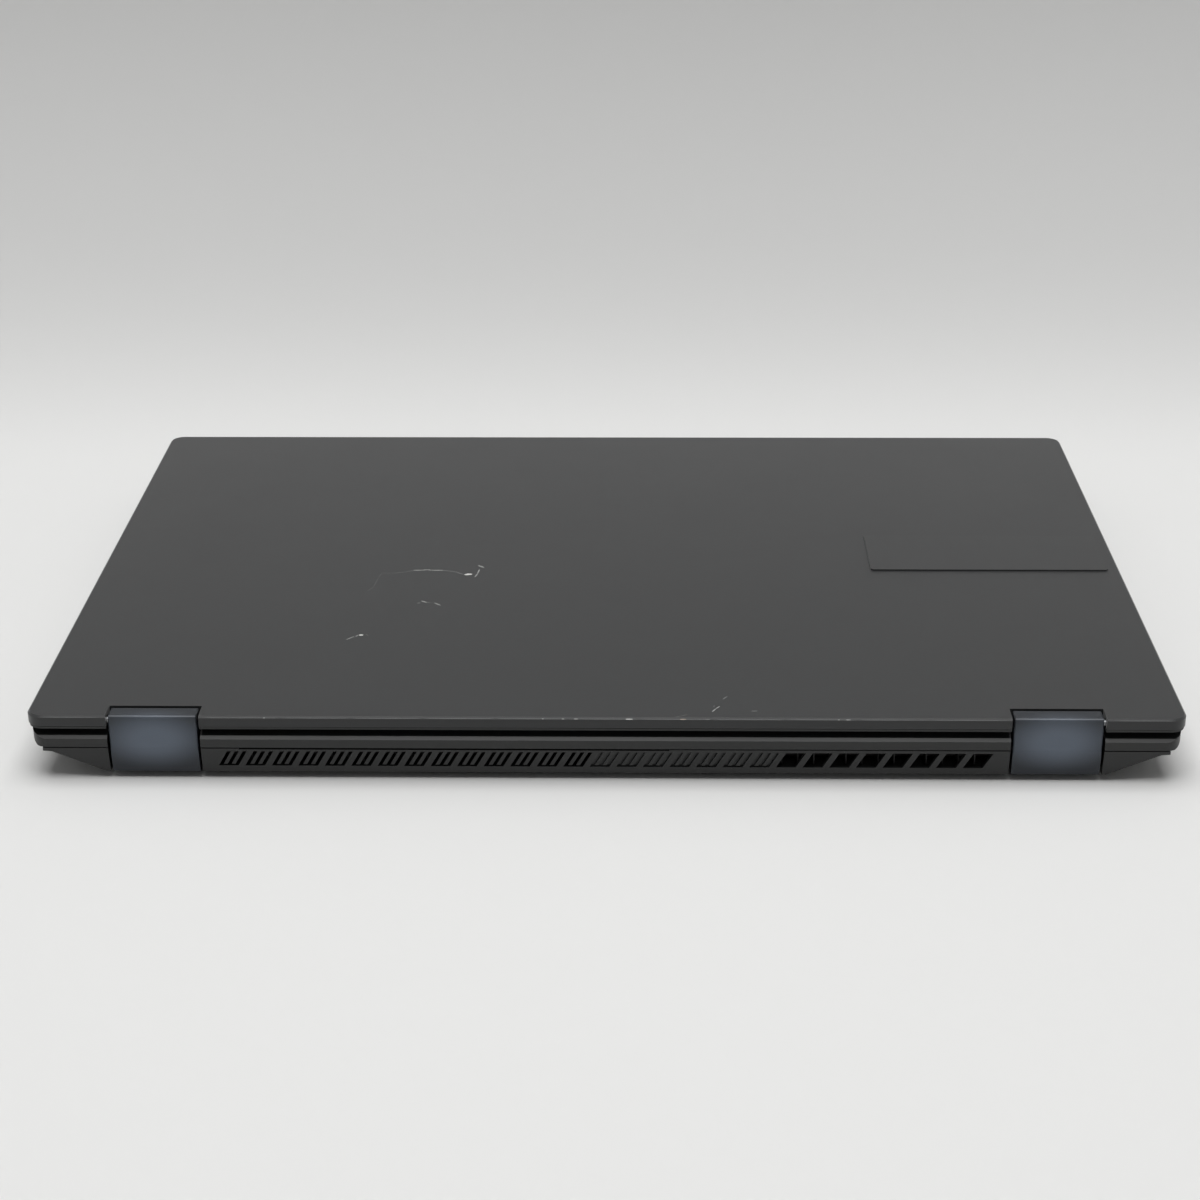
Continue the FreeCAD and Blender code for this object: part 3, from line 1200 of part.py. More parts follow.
def laptop():
    """Every piece by node name."""
    places = main_key_places() + arrow_key_places() + number_pad_places()
    pieces = {
        "top_case": top_case(),
        "bottom_cover": bottom_cover(),
        "exhaust_panel": exhaust_panel(),
        "rear_feet": rear_feet(),
        "front_feet": front_feet(),
        "lid_cover": lid_cover(),
        "lid_plate": lid_plate(),
        "screen_bezel": screen_bezel(),
        "display_panel": display_panel(),
        "camera": camera(),
        "lid_gasket": lid_gasket(),
        "keyboard_frame": keyboard_frame(places),
        "keyboard_plate": keyboard_plate(),
        "touchpad": touchpad(),
        "touchpad_tray": touchpad_tray(),
        "heat_pipes": heat_pipes(),
        "processor": processor(),
        "cold_plate": cold_plate(),
        "motherboard": motherboard(),
        "memory_module": memory_module(),
        "solid_state_drive": solid_state_drive(),
        "wireless_card": wireless_card(),
        "io_board": io_board(),
        "io_ribbon": io_ribbon(),
        "battery": battery(),
        "power_inlet": round_socket("power_inlet", POWER_BORE, POWER_PIN),
        "video_socket": tongue_socket("video_socket", SOCKET_TONGUE),
        "usb_a_socket_right": tongue_socket("usb_a_socket_right", SOCKET_TONGUE),
        "usb_c_socket": tongue_socket("usb_c_socket", SLIM_TONGUE),
        "audio_jack": round_socket("audio_jack", AUDIO_BORE, 0),
        "usb_a_socket_left": tongue_socket("usb_a_socket_left", SOCKET_TONGUE),
    }
    pieces.update(sided("hinge_cap", hinge_cap()))
    pieces.update(sided("hinge_bracket", hinge_bracket()))
    pieces.update(sided("hinge_arm", hinge_arm()))
    pieces.update(sided("fan_housing", fan_housing()))
    pieces.update(sided("fan_rotor", fan_rotor()))
    pieces.update(sided("fin_stack", fin_stack()))
    pieces.update(sided("speaker", speaker()))
    pieces.update(key_nodes(places))
    return pieces


os.makedirs("parts", exist_ok=True)
for name, shape in laptop().items():
    if not shape.isValid():
        raise ValueError(name + " is not a valid solid")
    shape.exportStep("parts/" + name + ".step")
    print(name, len(shape.Solids), "solids", len(shape.Faces), "faces", round(shape.Volume), "mm3")
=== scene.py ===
"""Looks of the laptop computer: finishes, keycaps, key legends, screw heads, lid wear and the stage."""

import math

import bmesh
import bpy
from mathutils import Matrix, Vector


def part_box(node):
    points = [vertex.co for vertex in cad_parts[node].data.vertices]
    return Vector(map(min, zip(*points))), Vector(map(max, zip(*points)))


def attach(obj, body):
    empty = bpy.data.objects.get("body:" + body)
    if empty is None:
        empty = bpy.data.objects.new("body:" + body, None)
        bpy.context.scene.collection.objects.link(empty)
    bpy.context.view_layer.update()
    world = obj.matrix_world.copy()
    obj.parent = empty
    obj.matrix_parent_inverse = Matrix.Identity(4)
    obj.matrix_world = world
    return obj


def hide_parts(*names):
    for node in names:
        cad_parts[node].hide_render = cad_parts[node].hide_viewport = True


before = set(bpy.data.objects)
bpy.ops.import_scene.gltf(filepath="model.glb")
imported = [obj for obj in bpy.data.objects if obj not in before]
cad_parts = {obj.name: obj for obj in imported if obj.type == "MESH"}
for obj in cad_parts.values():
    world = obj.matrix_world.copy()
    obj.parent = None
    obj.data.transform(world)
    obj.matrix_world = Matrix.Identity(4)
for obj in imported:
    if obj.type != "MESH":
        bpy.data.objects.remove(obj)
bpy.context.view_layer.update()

bl_info = {
    "name": "Laptop computer looks",
    "version": (1, 0, 0),
    "blender": (4, 5, 0),
    "location": "View3D > Sidebar > Laptop",
    "description": "Builds the finishes and small pieces of a laptop computer round its CAD model",
    "category": "Object",
}

MM = 0.001
SIDES = ("right", "left")

# Noise keeps mostly between these two values, which are stretched to the range that a finish needs.
NOISE_LOW = 0.3
NOISE_HIGH = 0.7
CLOUD_DETAIL = 5.0
CLOUD_ROUGHNESS = 0.6
GRAIN_DETAIL = 2.0

# Faces across a small rounded edge.
EDGE_STEPS = 2

# A black strip in the parting line of the rear wall, a painted shadow of the gap: its ends along x, its
# depth behind the wall's face, and how far it reaches above and below the top of the exhaust panel.
SEAM_SHADOW_SPAN = (-20.0 * MM, 113.0 * MM)
SEAM_SHADOW_DEPTH = 0.8 * MM
SEAM_SHADOW_ABOVE = 0.34 * MM
SEAM_SHADOW_BELOW = 0.25 * MM
SEAM_SHADOW_ROUNDING = SEAM_SHADOW_BELOW / 8

# Where the hinge caps carry a painted reflection: height of its middle and reach along x, y and z, in
# millimetres.
CAP_REFLECTION_HEIGHT = 14.0
CAP_REFLECTION_REACH = (20.0, 8.0, 12.0)
# Shades of the painted reflection on a cap at the rim and in the middle, which is even past the last
# value below.
CAP_REFLECTION_DARK = 0.3
CAP_REFLECTION_LIGHT = 1.7
CAP_REFLECTION_EVEN = 0.8

# A CAD mesh is loose triangles: corners this close are one corner, and faces this level one face.
CORNER_MERGE = 0.01 * MM
FLAT_ANGLE = math.radians(1)
# A key's top is a face whose normal points up at least this much.
UPWARD = 0.9
KEY_CORNER_STEPS = 4

# Legends in the order of the keys: row by row from the rear, each row from the user's left.
LEGENDS = {
    "function_keys": "Esc F1 F2 F3 F4 F5 F6 F7 F8 F9 F10 F11 F12 Prt Del Home End Calc",
    "main_keys": (
        "` 1 2 3 4 5 6 7 8 9 0 - = Q W E R T Y U I O P [ ] \\ A S D F G H J K L ; ' "
        "Z X C V B N M , . / Ctrl Fn Sys Alt Alt Ctrl"
    ),
    "backspace_key": "Back",
    "tab_key": "Tab",
    "caps_lock_key": "Caps",
    "enter_key": "Enter",
    "left_shift_key": "Shift",
    "right_shift_key": "Shift",
    "arrow_keys": "^ < v >",
    "number_pad_keys": "Num / * - 7 8 9 + 4 5 6 1 2 3 Enter 0 .",
    "power_button": "On",
}
BLANK_KEYS = ("space_bar",)
KEY_NODES = tuple(LEGENDS) + BLANK_KEYS

# A letter is at most LEGEND_DEPTH of its key's depth, and LEGEND_WIDTH of the width that it gets
# when the letters of its word share the key's width.
LEGEND_DEPTH = 0.5
LEGEND_WIDTH = 1.5
LETTER_CURVE_STEPS = 2
LETTER_MERGE = 0.001 * MM

# Print and thin marks stand this far off the face that carries them, and reach as far into it.
PRINT_LIFT = 0.02 * MM
PRINT_DEPTH = 2 * PRINT_LIFT

# Where the cover's posts take its screws, as (x, y) in millimetres on the underside.
COVER_SCREWS = (
    (-151.0, -100.25),
    (-71.0, -100.25),
    (71.0, -100.25),
    (151.0, -100.25),
    (-151.0, 104.65),
    (0.0, 106.9),
    (151.0, 104.65),
)
# A screw head in shares of its radius and height: the outer face, its rim, and the bars of the cross.
SCREW_SEGMENTS = 24
SCREW_FACE = 0.88
SCREW_RIM = 0.3
CROSS_LENGTH = 1.1
CROSS_WIDTH = 0.26
CROSS_DEPTH = 0.7
CROSS_DROP = 0.17

# What a mark of each depth lays bare, from the lightest mark to the deepest; the first is no mark but a
# painted highlight.
MARKS = {
    "edge_highlight": ("painted edge highlight", "5c5d5d"),
    "scuff": ("scuffed paint", "686968"),
    "scratch": ("scratched paint", "8e8f8d"),
    "gouge": ("bare pale plastic", "c9c9c6"),
    "primer": ("bare brown primer", "a3968a"),
}
DEPTHS = tuple(MARKS)
MARK_CORNERS = 8

# Marks on the lid, as (points along it and width in millimetres, depth of the mark).
LID_SCRATCHES = (
    (((85.7, 69.2), (83.4, 66.6)), 0.45, "scratch"),
    (((82.8, 66.6), (82.1, 65.5)), 0.45, "scratch"),
    (((81.4, 65.5), (80.9, 65.5)), 1.0, "gouge"),
    (((79.7, 64.7), (78.8, 66.0)), 0.4, "scuff"),
    (((64.6, 39.5), (64.2, 39.5)), 0.9, "scuff"),
    (((63.5, 37.8), (62.0, 38.9)), 0.7, "scratch"),
    (((62.0, 38.9), (60.7, 39.3)), 0.4, "scuff"),
    (((59.0, 39.5), (57.0, 41.2)), 0.6, "scratch"),
    (((83.1, 29.6), (81.3, 26.3), (80.3, 17.4), (79.6, 13.6)), 0.18, "scuff"),
    (((79.6, 13.6), (76.5, 14.0), (71.3, 13.0), (68.6, 11.3)), 0.25, "scuff"),
    (((68.6, 11.3), (65.7, 11.3), (63.8, 10.7), (62.6, 11.3), (58.4, 11.3)), 0.7, "scratch"),
    (((58.4, 11.3), (53.8, 12.5), (50.9, 15.1)), 0.5, "scuff"),
    (((50.0, 15.0), (48.5, 14.7)), 1.4, "gouge"),
    (((46.8, 17.2), (46.1, 14.4), (45.6, 10.5)), 0.5, "scratch"),
    (((46.1, 7.1), (44.3, 8.6)), 0.8, "scratch"),
    (((-33.2, 120.9), (-34.4, 118.8), (-35.5, 117.3)), 0.45, "scratch"),
    (((-33.8, 117.4), (-33.9, 116.6)), 0.4, "scuff"),
    (((-36.8, 112.1), (-38.1, 110.2)), 0.5, "scuff"),
    (((-22.0, 124.5), (-23.2, 124.1), (-25.5, 122.8)), 0.35, "scuff"),
    (((-45.5, 120.4), (-46.9, 120.3)), 0.6, "scuff"),
)

# Marks on the lid's rear edge lie on its bevel, this far in from the rear and down from the top.
EDGE_IN = 0.12 * MM
EDGE_DOWN = 0.46 * MM
EDGE_SLOPE = -math.pi / 4

# Chips in the paint of the rear edge, as (x and length in millimetres, depth of the mark).
EDGE_CHIPS = (
    (104.5, 0.7, "scratch"),
    (18.8, 0.7, "scratch"),
    (12.6, 0.9, "scratch"),
    (8.6, 1.5, "scratch"),
    (-7.7, 2.4, "gouge"),
    (-24.2, 2.1, "primer"),
    (-31.7, 1.7, "scuff"),
    (-71.8, 0.6, "scratch"),
    (-74.7, 1.7, "scratch"),
)
CHIP_WIDTH = 0.34 * MM

# Runs of the rear edge that carry a pale painted highlight, as ends along x in millimetres. A run is a
# row of marks of about the length below, each a little longer than its step so that they join.
EDGE_HIGHLIGHTS = ((-122.0, 122.0), (157.0, 173.0), (-173.0, -157.0))
EDGE_HIGHLIGHT_LENGTH = 24.0
EDGE_HIGHLIGHT_OVERLAP = 1.2
EDGE_HIGHLIGHT_WIDTH = 0.26 * MM

# The paper is level under the laptop and sweeps up behind it, in metres and radians.
SWEEP_START = -0.14
SWEEP_RADIUS = 0.22
SWEEP_TURN = math.radians(85)
SWEEP_SIZE = 4.0
SWEEP_STEPS = 400
SWEEP_COLUMNS = 4
PAPER_ROUGHNESS = 0.9
PAPER_SHINE = 0.2

# Painted shade on the paper where it rises: places along y in metres, and the shade it comes to.
PAPER_SHADE_NEAR = -0.15
PAPER_SHADE_FAR = -0.3
PAPER_SHADE_LEVEL = 0.8

# Past these distances from the laptop the paper fades into the wall, in metres.
PALE_NEAR = 0.6
PALE_FAR = 1.1

# The softbox hangs level above the floor, just past the laptop's rear, in metres and watts. The room
# adds an even light of its own.
SOFTBOX_PLACE = (0.0, 0.25, 1.9)
SOFTBOX_SIZE = 1.5
SOFTBOX_POWER = 32.0
ROOM_LIGHT = 0.2

# The camera as fitted to the photo: place and lens in millimetres, angles in degrees.
CAMERA_PLACE = (-11.7, 769.0, 348.0)
CAMERA_YAW = 1.136
CAMERA_PITCH = 23.989
CAMERA_ROLL = 0.316
CAMERA_LENS = 70.6


def sided(*names):
    """The names of the nodes that come as a right and a left one."""
    return [f"{name}_{side}" for name in names for side in SIDES]


def linear(code):
    """The linear colour of an sRGB hex code."""
    channels = []
    for start in (0, 2, 4):
        value = int(code[start : start + 2], 16) / 255
        low = value / 12.92
        high = ((value + 0.055) / 1.055) ** 2.4
        channels.append(low if value <= 0.04045 else high)
    return tuple(channels)


def add_node(tree, kind, values=None, links=None, **settings):
    """Adds one node with its settings, its sockets' values and the links into it."""
    node = tree.nodes.new(kind)
    for name, value in settings.items():
        setattr(node, name, value)
    for socket, value in (values or {}).items():
        node.inputs[socket].default_value = value
    for socket, source in (links or {}).items():
        tree.links.new(source, node.inputs[socket])
    return node


def per_metre(size):
    """The noise scale whose patches are about this many millimetres across."""
    return 1 / (size * MM)


def painted_reflection(tree, place, centre, reach):
    """A painted reflection on a face: light round a centre and dark towards the rim; centre and reach in
    millimetres.
    """
    patch = add_node(
        tree,
        "ShaderNodeMapping",
        {
            "Scale": [per_metre(size) for size in reach],
            "Location": [-middle / size for middle, size in zip(centre, reach)],
        },
        {"Vector": place.outputs["Object"]},
    )
    ball = add_node(
        tree,
        "ShaderNodeTexGradient",
        links={"Vector": patch.outputs["Vector"]},
        gradient_type="SPHERICAL",
    )
    return add_node(
        tree,
        "ShaderNodeMapRange",
        {"From Max": CAP_REFLECTION_EVEN, "To Min": CAP_REFLECTION_DARK, "To Max": CAP_REFLECTION_LIGHT},
        {"Value": ball.outputs["Fac"]},
        interpolation_type="SMOOTHSTEP",
    )


def surface(
    name,
    colour,
    *,
    roughness,
    grain,
    relief,
    cloud=45.0,
    mottling=0.05,
    metallic=0.0,
    ior=1.5,
    sheen=0.0,
    stretch=(1.0, 1.0, 1.0),
    reflection_at=None,
):
    """A skin with fine grain in relief and faint clouds of wear; grain, relief and cloud in millimetres.

    Real grain is about 0.1 mm across and would not show, so each finish draws its own coarser.
    A place given as a centre and reach in millimetres is lighter than the rest, a painted reflection.
    """
    material = bpy.data.materials.new(name)
    material.use_nodes = True
    tree = material.node_tree
    shader = tree.nodes["Principled BSDF"]
    shader.inputs["Metallic"].default_value = metallic
    shader.inputs["IOR"].default_value = ior
    shader.inputs["Sheen Weight"].default_value = sheen
    place = add_node(tree, "ShaderNodeTexCoord")
    along = add_node(
        tree, "ShaderNodeMapping", {"Scale": stretch}, {"Vector": place.outputs["Object"]}
    )
    clouds = add_node(
        tree,
        "ShaderNodeTexNoise",
        {"Scale": per_metre(cloud), "Detail": CLOUD_DETAIL, "Roughness": CLOUD_ROUGHNESS},
        {"Vector": place.outputs["Object"]},
    )
    grains = add_node(
        tree,
        "ShaderNodeTexNoise",
        {"Scale": per_metre(grain), "Detail": GRAIN_DETAIL},
        {"Vector": along.outputs["Vector"]},
    )
    spreads = []
    for noise, middle in ((clouds, 1.0), (grains, 1.0), (clouds, roughness)):
        spread = add_node(
            tree,
            "ShaderNodeMapRange",
            {
                "From Min": NOISE_LOW,
                "From Max": NOISE_HIGH,
                "To Min": middle - mottling,
                "To Max": middle + mottling,
            },
            {"Value": noise.outputs["Fac"]},
        )
        spreads.append(spread)
    wear, speckle, polish = spreads
    shade = add_node(
        tree,
        "ShaderNodeMath",
        links={0: wear.outputs["Result"], 1: speckle.outputs["Result"]},
        operation="MULTIPLY",
    )
    # Painted reflection: the shade is multiplied by a light middle and a dark rim.
    if reflection_at:
        reflection = painted_reflection(tree, place, *reflection_at)
        shade = add_node(
            tree,
            "ShaderNodeMath",
            links={0: shade.outputs["Value"], 1: reflection.outputs["Result"]},
            operation="MULTIPLY",
        )
    tint = add_node(
        tree,
        "ShaderNodeHueSaturation",
        {"Color": (*colour, 1.0)},
        {"Value": shade.outputs["Value"]},
    )
    bump = add_node(
        tree,
        "ShaderNodeBump",
        {"Strength": 1.0, "Distance": relief * MM},
        {"Height": grains.outputs["Fac"]},
    )
    tree.links.new(tint.outputs["Color"], shader.inputs["Base Color"])
    tree.links.new(polish.outputs["Result"], shader.inputs["Roughness"])
    tree.links.new(bump.outputs["Normal"], shader.inputs["Normal"])
    return material


def seeing_rays(tree):
    """1 on the rays that show what lies behind: those of the camera, of gloss and of glass."""
    ray = add_node(tree, "ShaderNodeLightPath")
    either = add_node(
        tree,
        "ShaderNodeMath",
        links={0: ray.outputs["Is Camera Ray"], 1: ray.outputs["Is Glossy Ray"]},
        operation="MAXIMUM",
    )
    seeing = add_node(
        tree,
        "ShaderNodeMath",
        links={0: either.outputs["Value"], 1: ray.outputs["Is Transmission Ray"]},
        operation="MAXIMUM",
    )
    return seeing.outputs["Value"]


def dress(nodes, material):
    """Gives CAD nodes a material on their objects' slots."""
    for name in nodes:
        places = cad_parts[name].material_slots
        if not places:
            raise RuntimeError(f"{name} has no material slot")
        for place in places:
            place.link = "OBJECT"
            place.material = material


def round_edges(shape, edges, radius, steps=EDGE_STEPS):
    """Rounds some edges of a bmesh."""
    bmesh.ops.bevel(
        shape,
        geom=edges,
        offset=radius,
        affect="EDGES",
        segments=steps,
        profile=0.5,
        material=-1,
    )


def faces_at(corners):
    """The faces that meet at some corners of a bmesh."""
    return {face for corner in corners for face in corner.link_faces}


def piece(name, shape, materials, body):
    """Turns a bmesh into an object that rides a body."""
    bmesh.ops.recalc_face_normals(shape, faces=shape.faces)
    mesh = bpy.data.meshes.new(name)
    shape.to_mesh(mesh)
    shape.free()
    for material in materials:
        mesh.materials.append(material)
    made = bpy.data.objects.new(name, mesh)
    bpy.context.scene.collection.objects.link(made)
    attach(made, body)
    return made


def key_shapes(node):
    """The keys of a node with their facets joined to flat faces."""
    shape = bmesh.new()
    shape.from_mesh(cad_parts[node].data)
    bmesh.ops.remove_doubles(shape, verts=shape.verts, dist=CORNER_MERGE)
    bmesh.ops.dissolve_limit(
        shape, angle_limit=FLAT_ANGLE, verts=shape.verts, edges=shape.edges
    )
    return shape


def key_tops(node):
    """The top faces of a node's keys, row by row from the rear and from the user's left."""
    shape = key_shapes(node)
    tops = []
    for face in shape.faces:
        if face.normal.z > UPWARD:
            xs = [corner.co.x for corner in face.verts]
            ys = [corner.co.y for corner in face.verts]
            tops.append((min(xs), max(xs), min(ys), max(ys), face.verts[0].co.z))
    shape.free()
    # Keys of one row share their rear edge, rounded here to whole millimetres.
    return sorted(tops, key=lambda top: (-round(top[3] / MM), top[0]))


def letters(text, height):
    """A word as a thin closed mesh round the origin."""
    curve = bpy.data.curves.new("legend", "FONT")
    curve.body = text
    curve.size = height
    curve.align_x = "CENTER"
    curve.align_y = "CENTER"
    curve.resolution_u = LETTER_CURVE_STEPS
    curve.extrude = PRINT_DEPTH / 2
    holder = bpy.data.objects.new("legend", curve)
    bpy.context.scene.collection.objects.link(holder)
    graph = bpy.context.evaluated_depsgraph_get()
    mesh = bpy.data.meshes.new_from_object(holder.evaluated_get(graph))
    bpy.data.objects.remove(holder)
    bpy.data.curves.remove(curve)
    return mesh


class LaptopLooks(bpy.types.PropertyGroup):
    """Colours and sizes a user may change before building."""

    lid_colour: bpy.props.FloatVectorProperty(
        name="Lid colour",
        description="Paint of the lid",
        subtype="COLOR",
        size=3,
        default=linear("222324"),
    )
    case_colour: bpy.props.FloatVectorProperty(
        name="Case colour",
        description="Paint of the base",
        subtype="COLOR",
        size=3,
        default=linear("1b1c1c"),
    )
    cap_colour: bpy.props.FloatVectorProperty(
        name="Hinge cap colour",
        description="Satin paint of the hinge caps",
        subtype="COLOR",
        size=3,
        default=linear("464d57"),
    )
    key_colour: bpy.props.FloatVectorProperty(
        name="Key colour",
        description="Moulded colour of the keycaps",
        subtype="COLOR",
        size=3,
        default=linear("232426"),
    )
    legend_colour: bpy.props.FloatVectorProperty(
        name="Legend colour",
        description="Print on the keys",
        subtype="COLOR",
        size=3,
        default=linear("d4d6d6"),
    )
    floor_colour: bpy.props.FloatVectorProperty(
        name="Floor colour",
        description="Paper under and behind the laptop",
        subtype="COLOR",
        size=3,
        default=linear("e4e4e3"),
    )
    key_corner: bpy.props.FloatProperty(
        name="Key corner",
        description="Corner radius of a keycap",
        unit="LENGTH",
        default=1.6 * MM,
    )
    key_edge: bpy.props.FloatProperty(
        name="Key edge",
        description="Rounding of a keycap's top edge",
        unit="LENGTH",
        default=0.3 * MM,
    )
    letter_height: bpy.props.FloatProperty(
        name="Letter height",
        description="Size of a single printed character",
        unit="LENGTH",
        default=4.4 * MM,
    )
    word_height: bpy.props.FloatProperty(
        name="Word height",
        description="Size of a printed word",
        unit="LENGTH",
        default=2.9 * MM,
    )
    screw_radius: bpy.props.FloatProperty(
        name="Screw head radius",
        description="Radius of the underside screw heads",
        unit="LENGTH",
        default=2.3 * MM,
    )
    screw_height: bpy.props.FloatProperty(
        name="Screw head height",
        description="How far a screw head stands out of the cover",
        unit="LENGTH",
        default=0.4 * MM,
    )


class LAPTOP_OT_lid_finish(bpy.types.Operator):
    """Paints the lid and dresses the bezel, the screen and the camera"""

    bl_idname = "laptop.lid_finish"
    bl_label = "Lid finish"

    def execute(self, context):
        looks = context.scene.laptop_looks
        # Soft-touch paint over moulded plastic: even dark grey that pales at a low angle.
        paint = surface(
            "soft-touch lid paint",
            looks.lid_colour,
            roughness=0.36,
            grain=0.8,
            relief=0.01,
            mottling=0.02,
            ior=1.45,
            sheen=0.15,
        )
        dress(["lid_cover"], paint)
        # The same paint on a thin bonded plate, a little smoother to the eye.
        plate = surface(
            "smooth plate paint",
            looks.lid_colour,
            roughness=0.34,
            grain=1.0,
            relief=0.006,
            mottling=0.02,
            ior=1.45,
            sheen=0.15,
        )
        dress(["lid_plate"], plate)
        # Moulded plastic with a spark-eroded texture: nearly black and dull.
        bezel = surface(
            "textured bezel plastic", linear("1e1f1f"), roughness=0.55, grain=0.7, relief=0.02
        )
        dress(["screen_bezel"], bezel)
        # Anti-glare glass of an unlit display: black with a soft sheen.
        glass = surface(
            "anti-glare display glass",
            linear("08090a"),
            roughness=0.28,
            grain=0.5,
            relief=0.002,
            mottling=0.02,
        )
        dress(["display_panel"], glass)
        # Coated camera glass: deep blue black and shiny.
        lens = surface(
            "coated lens glass",
            linear("0a0c14"),
            roughness=0.06,
            grain=0.5,
            relief=0.001,
            mottling=0.01,
        )
        dress(["camera"], lens)
        return {"FINISHED"}


class LAPTOP_OT_case_finish(bpy.types.Operator):
    """Paints the base and dresses its feet and the lid's gasket"""

    bl_idname = "laptop.case_finish"
    bl_label = "Case finish"

    def execute(self, context):
        looks = context.scene.laptop_looks
        # Matt paint over moulded plastic, like the lid but with less sheen.
        paint = surface(
            "matt case paint",
            looks.case_colour,
            roughness=0.36,
            grain=0.7,
            relief=0.008,
            mottling=0.03,
            ior=1.47,
        )
        dress(["top_case", "bottom_cover", "exhaust_panel"], paint)
        # Moulded rubber: black, dull and dusty.
        rubber = surface(
            "moulded rubber", linear("19191a"), roughness=0.85, grain=0.6, relief=0.03, ior=1.52
        )
        dress(["rear_feet", "front_feet", "lid_gasket"], rubber)
        return {"FINISHED"}


class LAPTOP_OT_seam_shadow(bpy.types.Operator):
    """Lays a black strip in the parting line over the exhaust panel, a painted shadow of the gap"""

    bl_idname = "laptop.seam_liner"
    bl_label = "Seam shadow"

    def execute(self, context):
        # Painted shadow: a dull black strip that stands for the shade deep in the gap.
        shadow_paint = surface(
            "painted seam shadow",
            linear("040404"),
            roughness=0.9,
            grain=0.6,
            relief=0.03,
            ior=1.1,
        )
        left, right = SEAM_SHADOW_SPAN
        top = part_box("exhaust_panel")[1].z
        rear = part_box("top_case")[1].y
        middle = (
            (left + right) / 2,
            rear - SEAM_SHADOW_DEPTH / 2,
            top + (SEAM_SHADOW_ABOVE - SEAM_SHADOW_BELOW) / 2,
        )
        size = (right - left, SEAM_SHADOW_DEPTH, SEAM_SHADOW_ABOVE + SEAM_SHADOW_BELOW)
        place = Matrix.Translation(middle) @ Matrix.Diagonal((*size, 1.0))
        strip = bmesh.new()
        bmesh.ops.create_cube(strip, size=1.0, matrix=place)
        round_edges(strip, list(strip.edges), SEAM_SHADOW_ROUNDING)
        piece("seam_liner", strip, [shadow_paint], "base")
        return {"FINISHED"}


class LAPTOP_OT_hinge_finish(bpy.types.Operator):
    """Dresses the hinge caps and the steel pieces"""

    bl_idname = "laptop.hinge_finish"
    bl_label = "Hinge finish"

    def execute(self, context):
        looks = context.scene.laptop_looks
        # Satin metallic paint: bluish grey that takes broad soft highlights.
        # Each cap carries a painted reflection: its middle is drawn lighter than its edges.
        for cap in sided("hinge_cap"):
            low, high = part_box(cap)
            centre = ((low.x + high.x) / 2 / MM, high.y / MM, CAP_REFLECTION_HEIGHT)
            satin_and_reflection = surface(
                f"satin paint with painted reflection of {cap}",
                looks.cap_colour,
                roughness=0.32,
                grain=0.6,
                relief=0.001,
                mottling=0.015,
                metallic=0.25,
                reflection_at=(centre, CAP_REFLECTION_REACH),
            )
            dress([cap], satin_and_reflection)
        # Cold-rolled steel: grey metal with a rolled streak along its length.
        steel = surface(
            "cold-rolled steel",
            linear("a9abad"),
            roughness=0.38,
            grain=0.6,
            relief=0.004,
            metallic=1.0,
            stretch=(0.1, 1.0, 1.0),
        )
        dress(sided("hinge_bracket", "hinge_arm") + ["keyboard_plate", "touchpad_tray"], steel)
        return {"FINISHED"}


class LAPTOP_OT_deck_finish(bpy.types.Operator):
    """Dresses the keyboard frame and the touchpad"""

    bl_idname = "laptop.deck_finish"
    bl_label = "Deck finish"

    def execute(self, context):
        looks = context.scene.laptop_looks
        # Moulded plastic web between the keys, a shade off the keys' own.
        web = surface(
            "moulded frame plastic", linear("2a2b2c"), roughness=0.5, grain=0.7, relief=0.012
        )
        dress(["keyboard_frame"], web)
        # Etched polyester film in the deck's colour: smooth and satin.
        film = surface(
            "etched touchpad film",
            looks.case_colour,
            roughness=0.3,
            grain=0.5,
            relief=0.003,
            mottling=0.03,
        )
        dress(["touchpad"], film)
        return {"FINISHED"}


class LAPTOP_OT_inside_finish(bpy.types.Operator):
    """Dresses the cooling pieces and the electronics"""

    bl_idname = "laptop.inside_finish"
    bl_label = "Inside finish"

    def execute(self, context):
        # Copper drawn nearly black as painted shade inside the vents, with a warm cast where the
        # mottling is lighter.
        copper = surface(
            "copper darkened as painted shade",
            linear("1a1614"),
            roughness=0.35,
            grain=0.8,
            relief=0.004,
            cloud=15.0,
            mottling=0.08,
            stretch=(0.2, 1.0, 1.0),
        )
        dress(["heat_pipes", "cold_plate"], copper)
        # Aluminium fins drawn black as painted shade, so that they read as black behind the openings.
        fins = surface(
            "fins darkened as painted shade", linear("0d0d0e"), roughness=0.6, grain=0.6, relief=0.006
        )
        dress(sided("fin_stack"), fins)
        # Glass-filled nylon: black, slightly shiny where it left the mould.
        nylon = surface(
            "glass-filled nylon", linear("1b1b1c"), roughness=0.45, grain=0.8, relief=0.01, ior=1.53
        )
        dress(sided("fan_housing", "fan_rotor", "speaker"), nylon)
        # Solder mask over a glass-epoxy board: dark green with a low shine.
        board = surface(
            "solder-masked board", linear("1d4a34"), roughness=0.35, grain=1.2, relief=0.01, cloud=20.0
        )
        boards = ["motherboard", "memory_module", "solid_state_drive", "wireless_card", "io_board"]
        dress(boards, board)
        # Polished silicon: dark grey and mirror smooth.
        silicon = surface(
            "bare silicon die",
            linear("2c2e33"),
            roughness=0.15,
            grain=0.5,
            relief=0.001,
            mottling=0.02,
        )
        dress(["processor"], silicon)
        # Polyester wrap of the cells: black, wrinkled, half shiny.
        wrap = surface(
            "polyester cell wrap", linear("202122"), roughness=0.4, grain=6.0, relief=0.08
        )
        dress(["battery"], wrap)
        # Polyester film of the flat cable: pale with a satin face.
        ribbon = surface(
            "white ribbon film", linear("c9cac6"), roughness=0.4, grain=1.0, relief=0.01
        )
        dress(["io_ribbon"], ribbon)
        return {"FINISHED"}


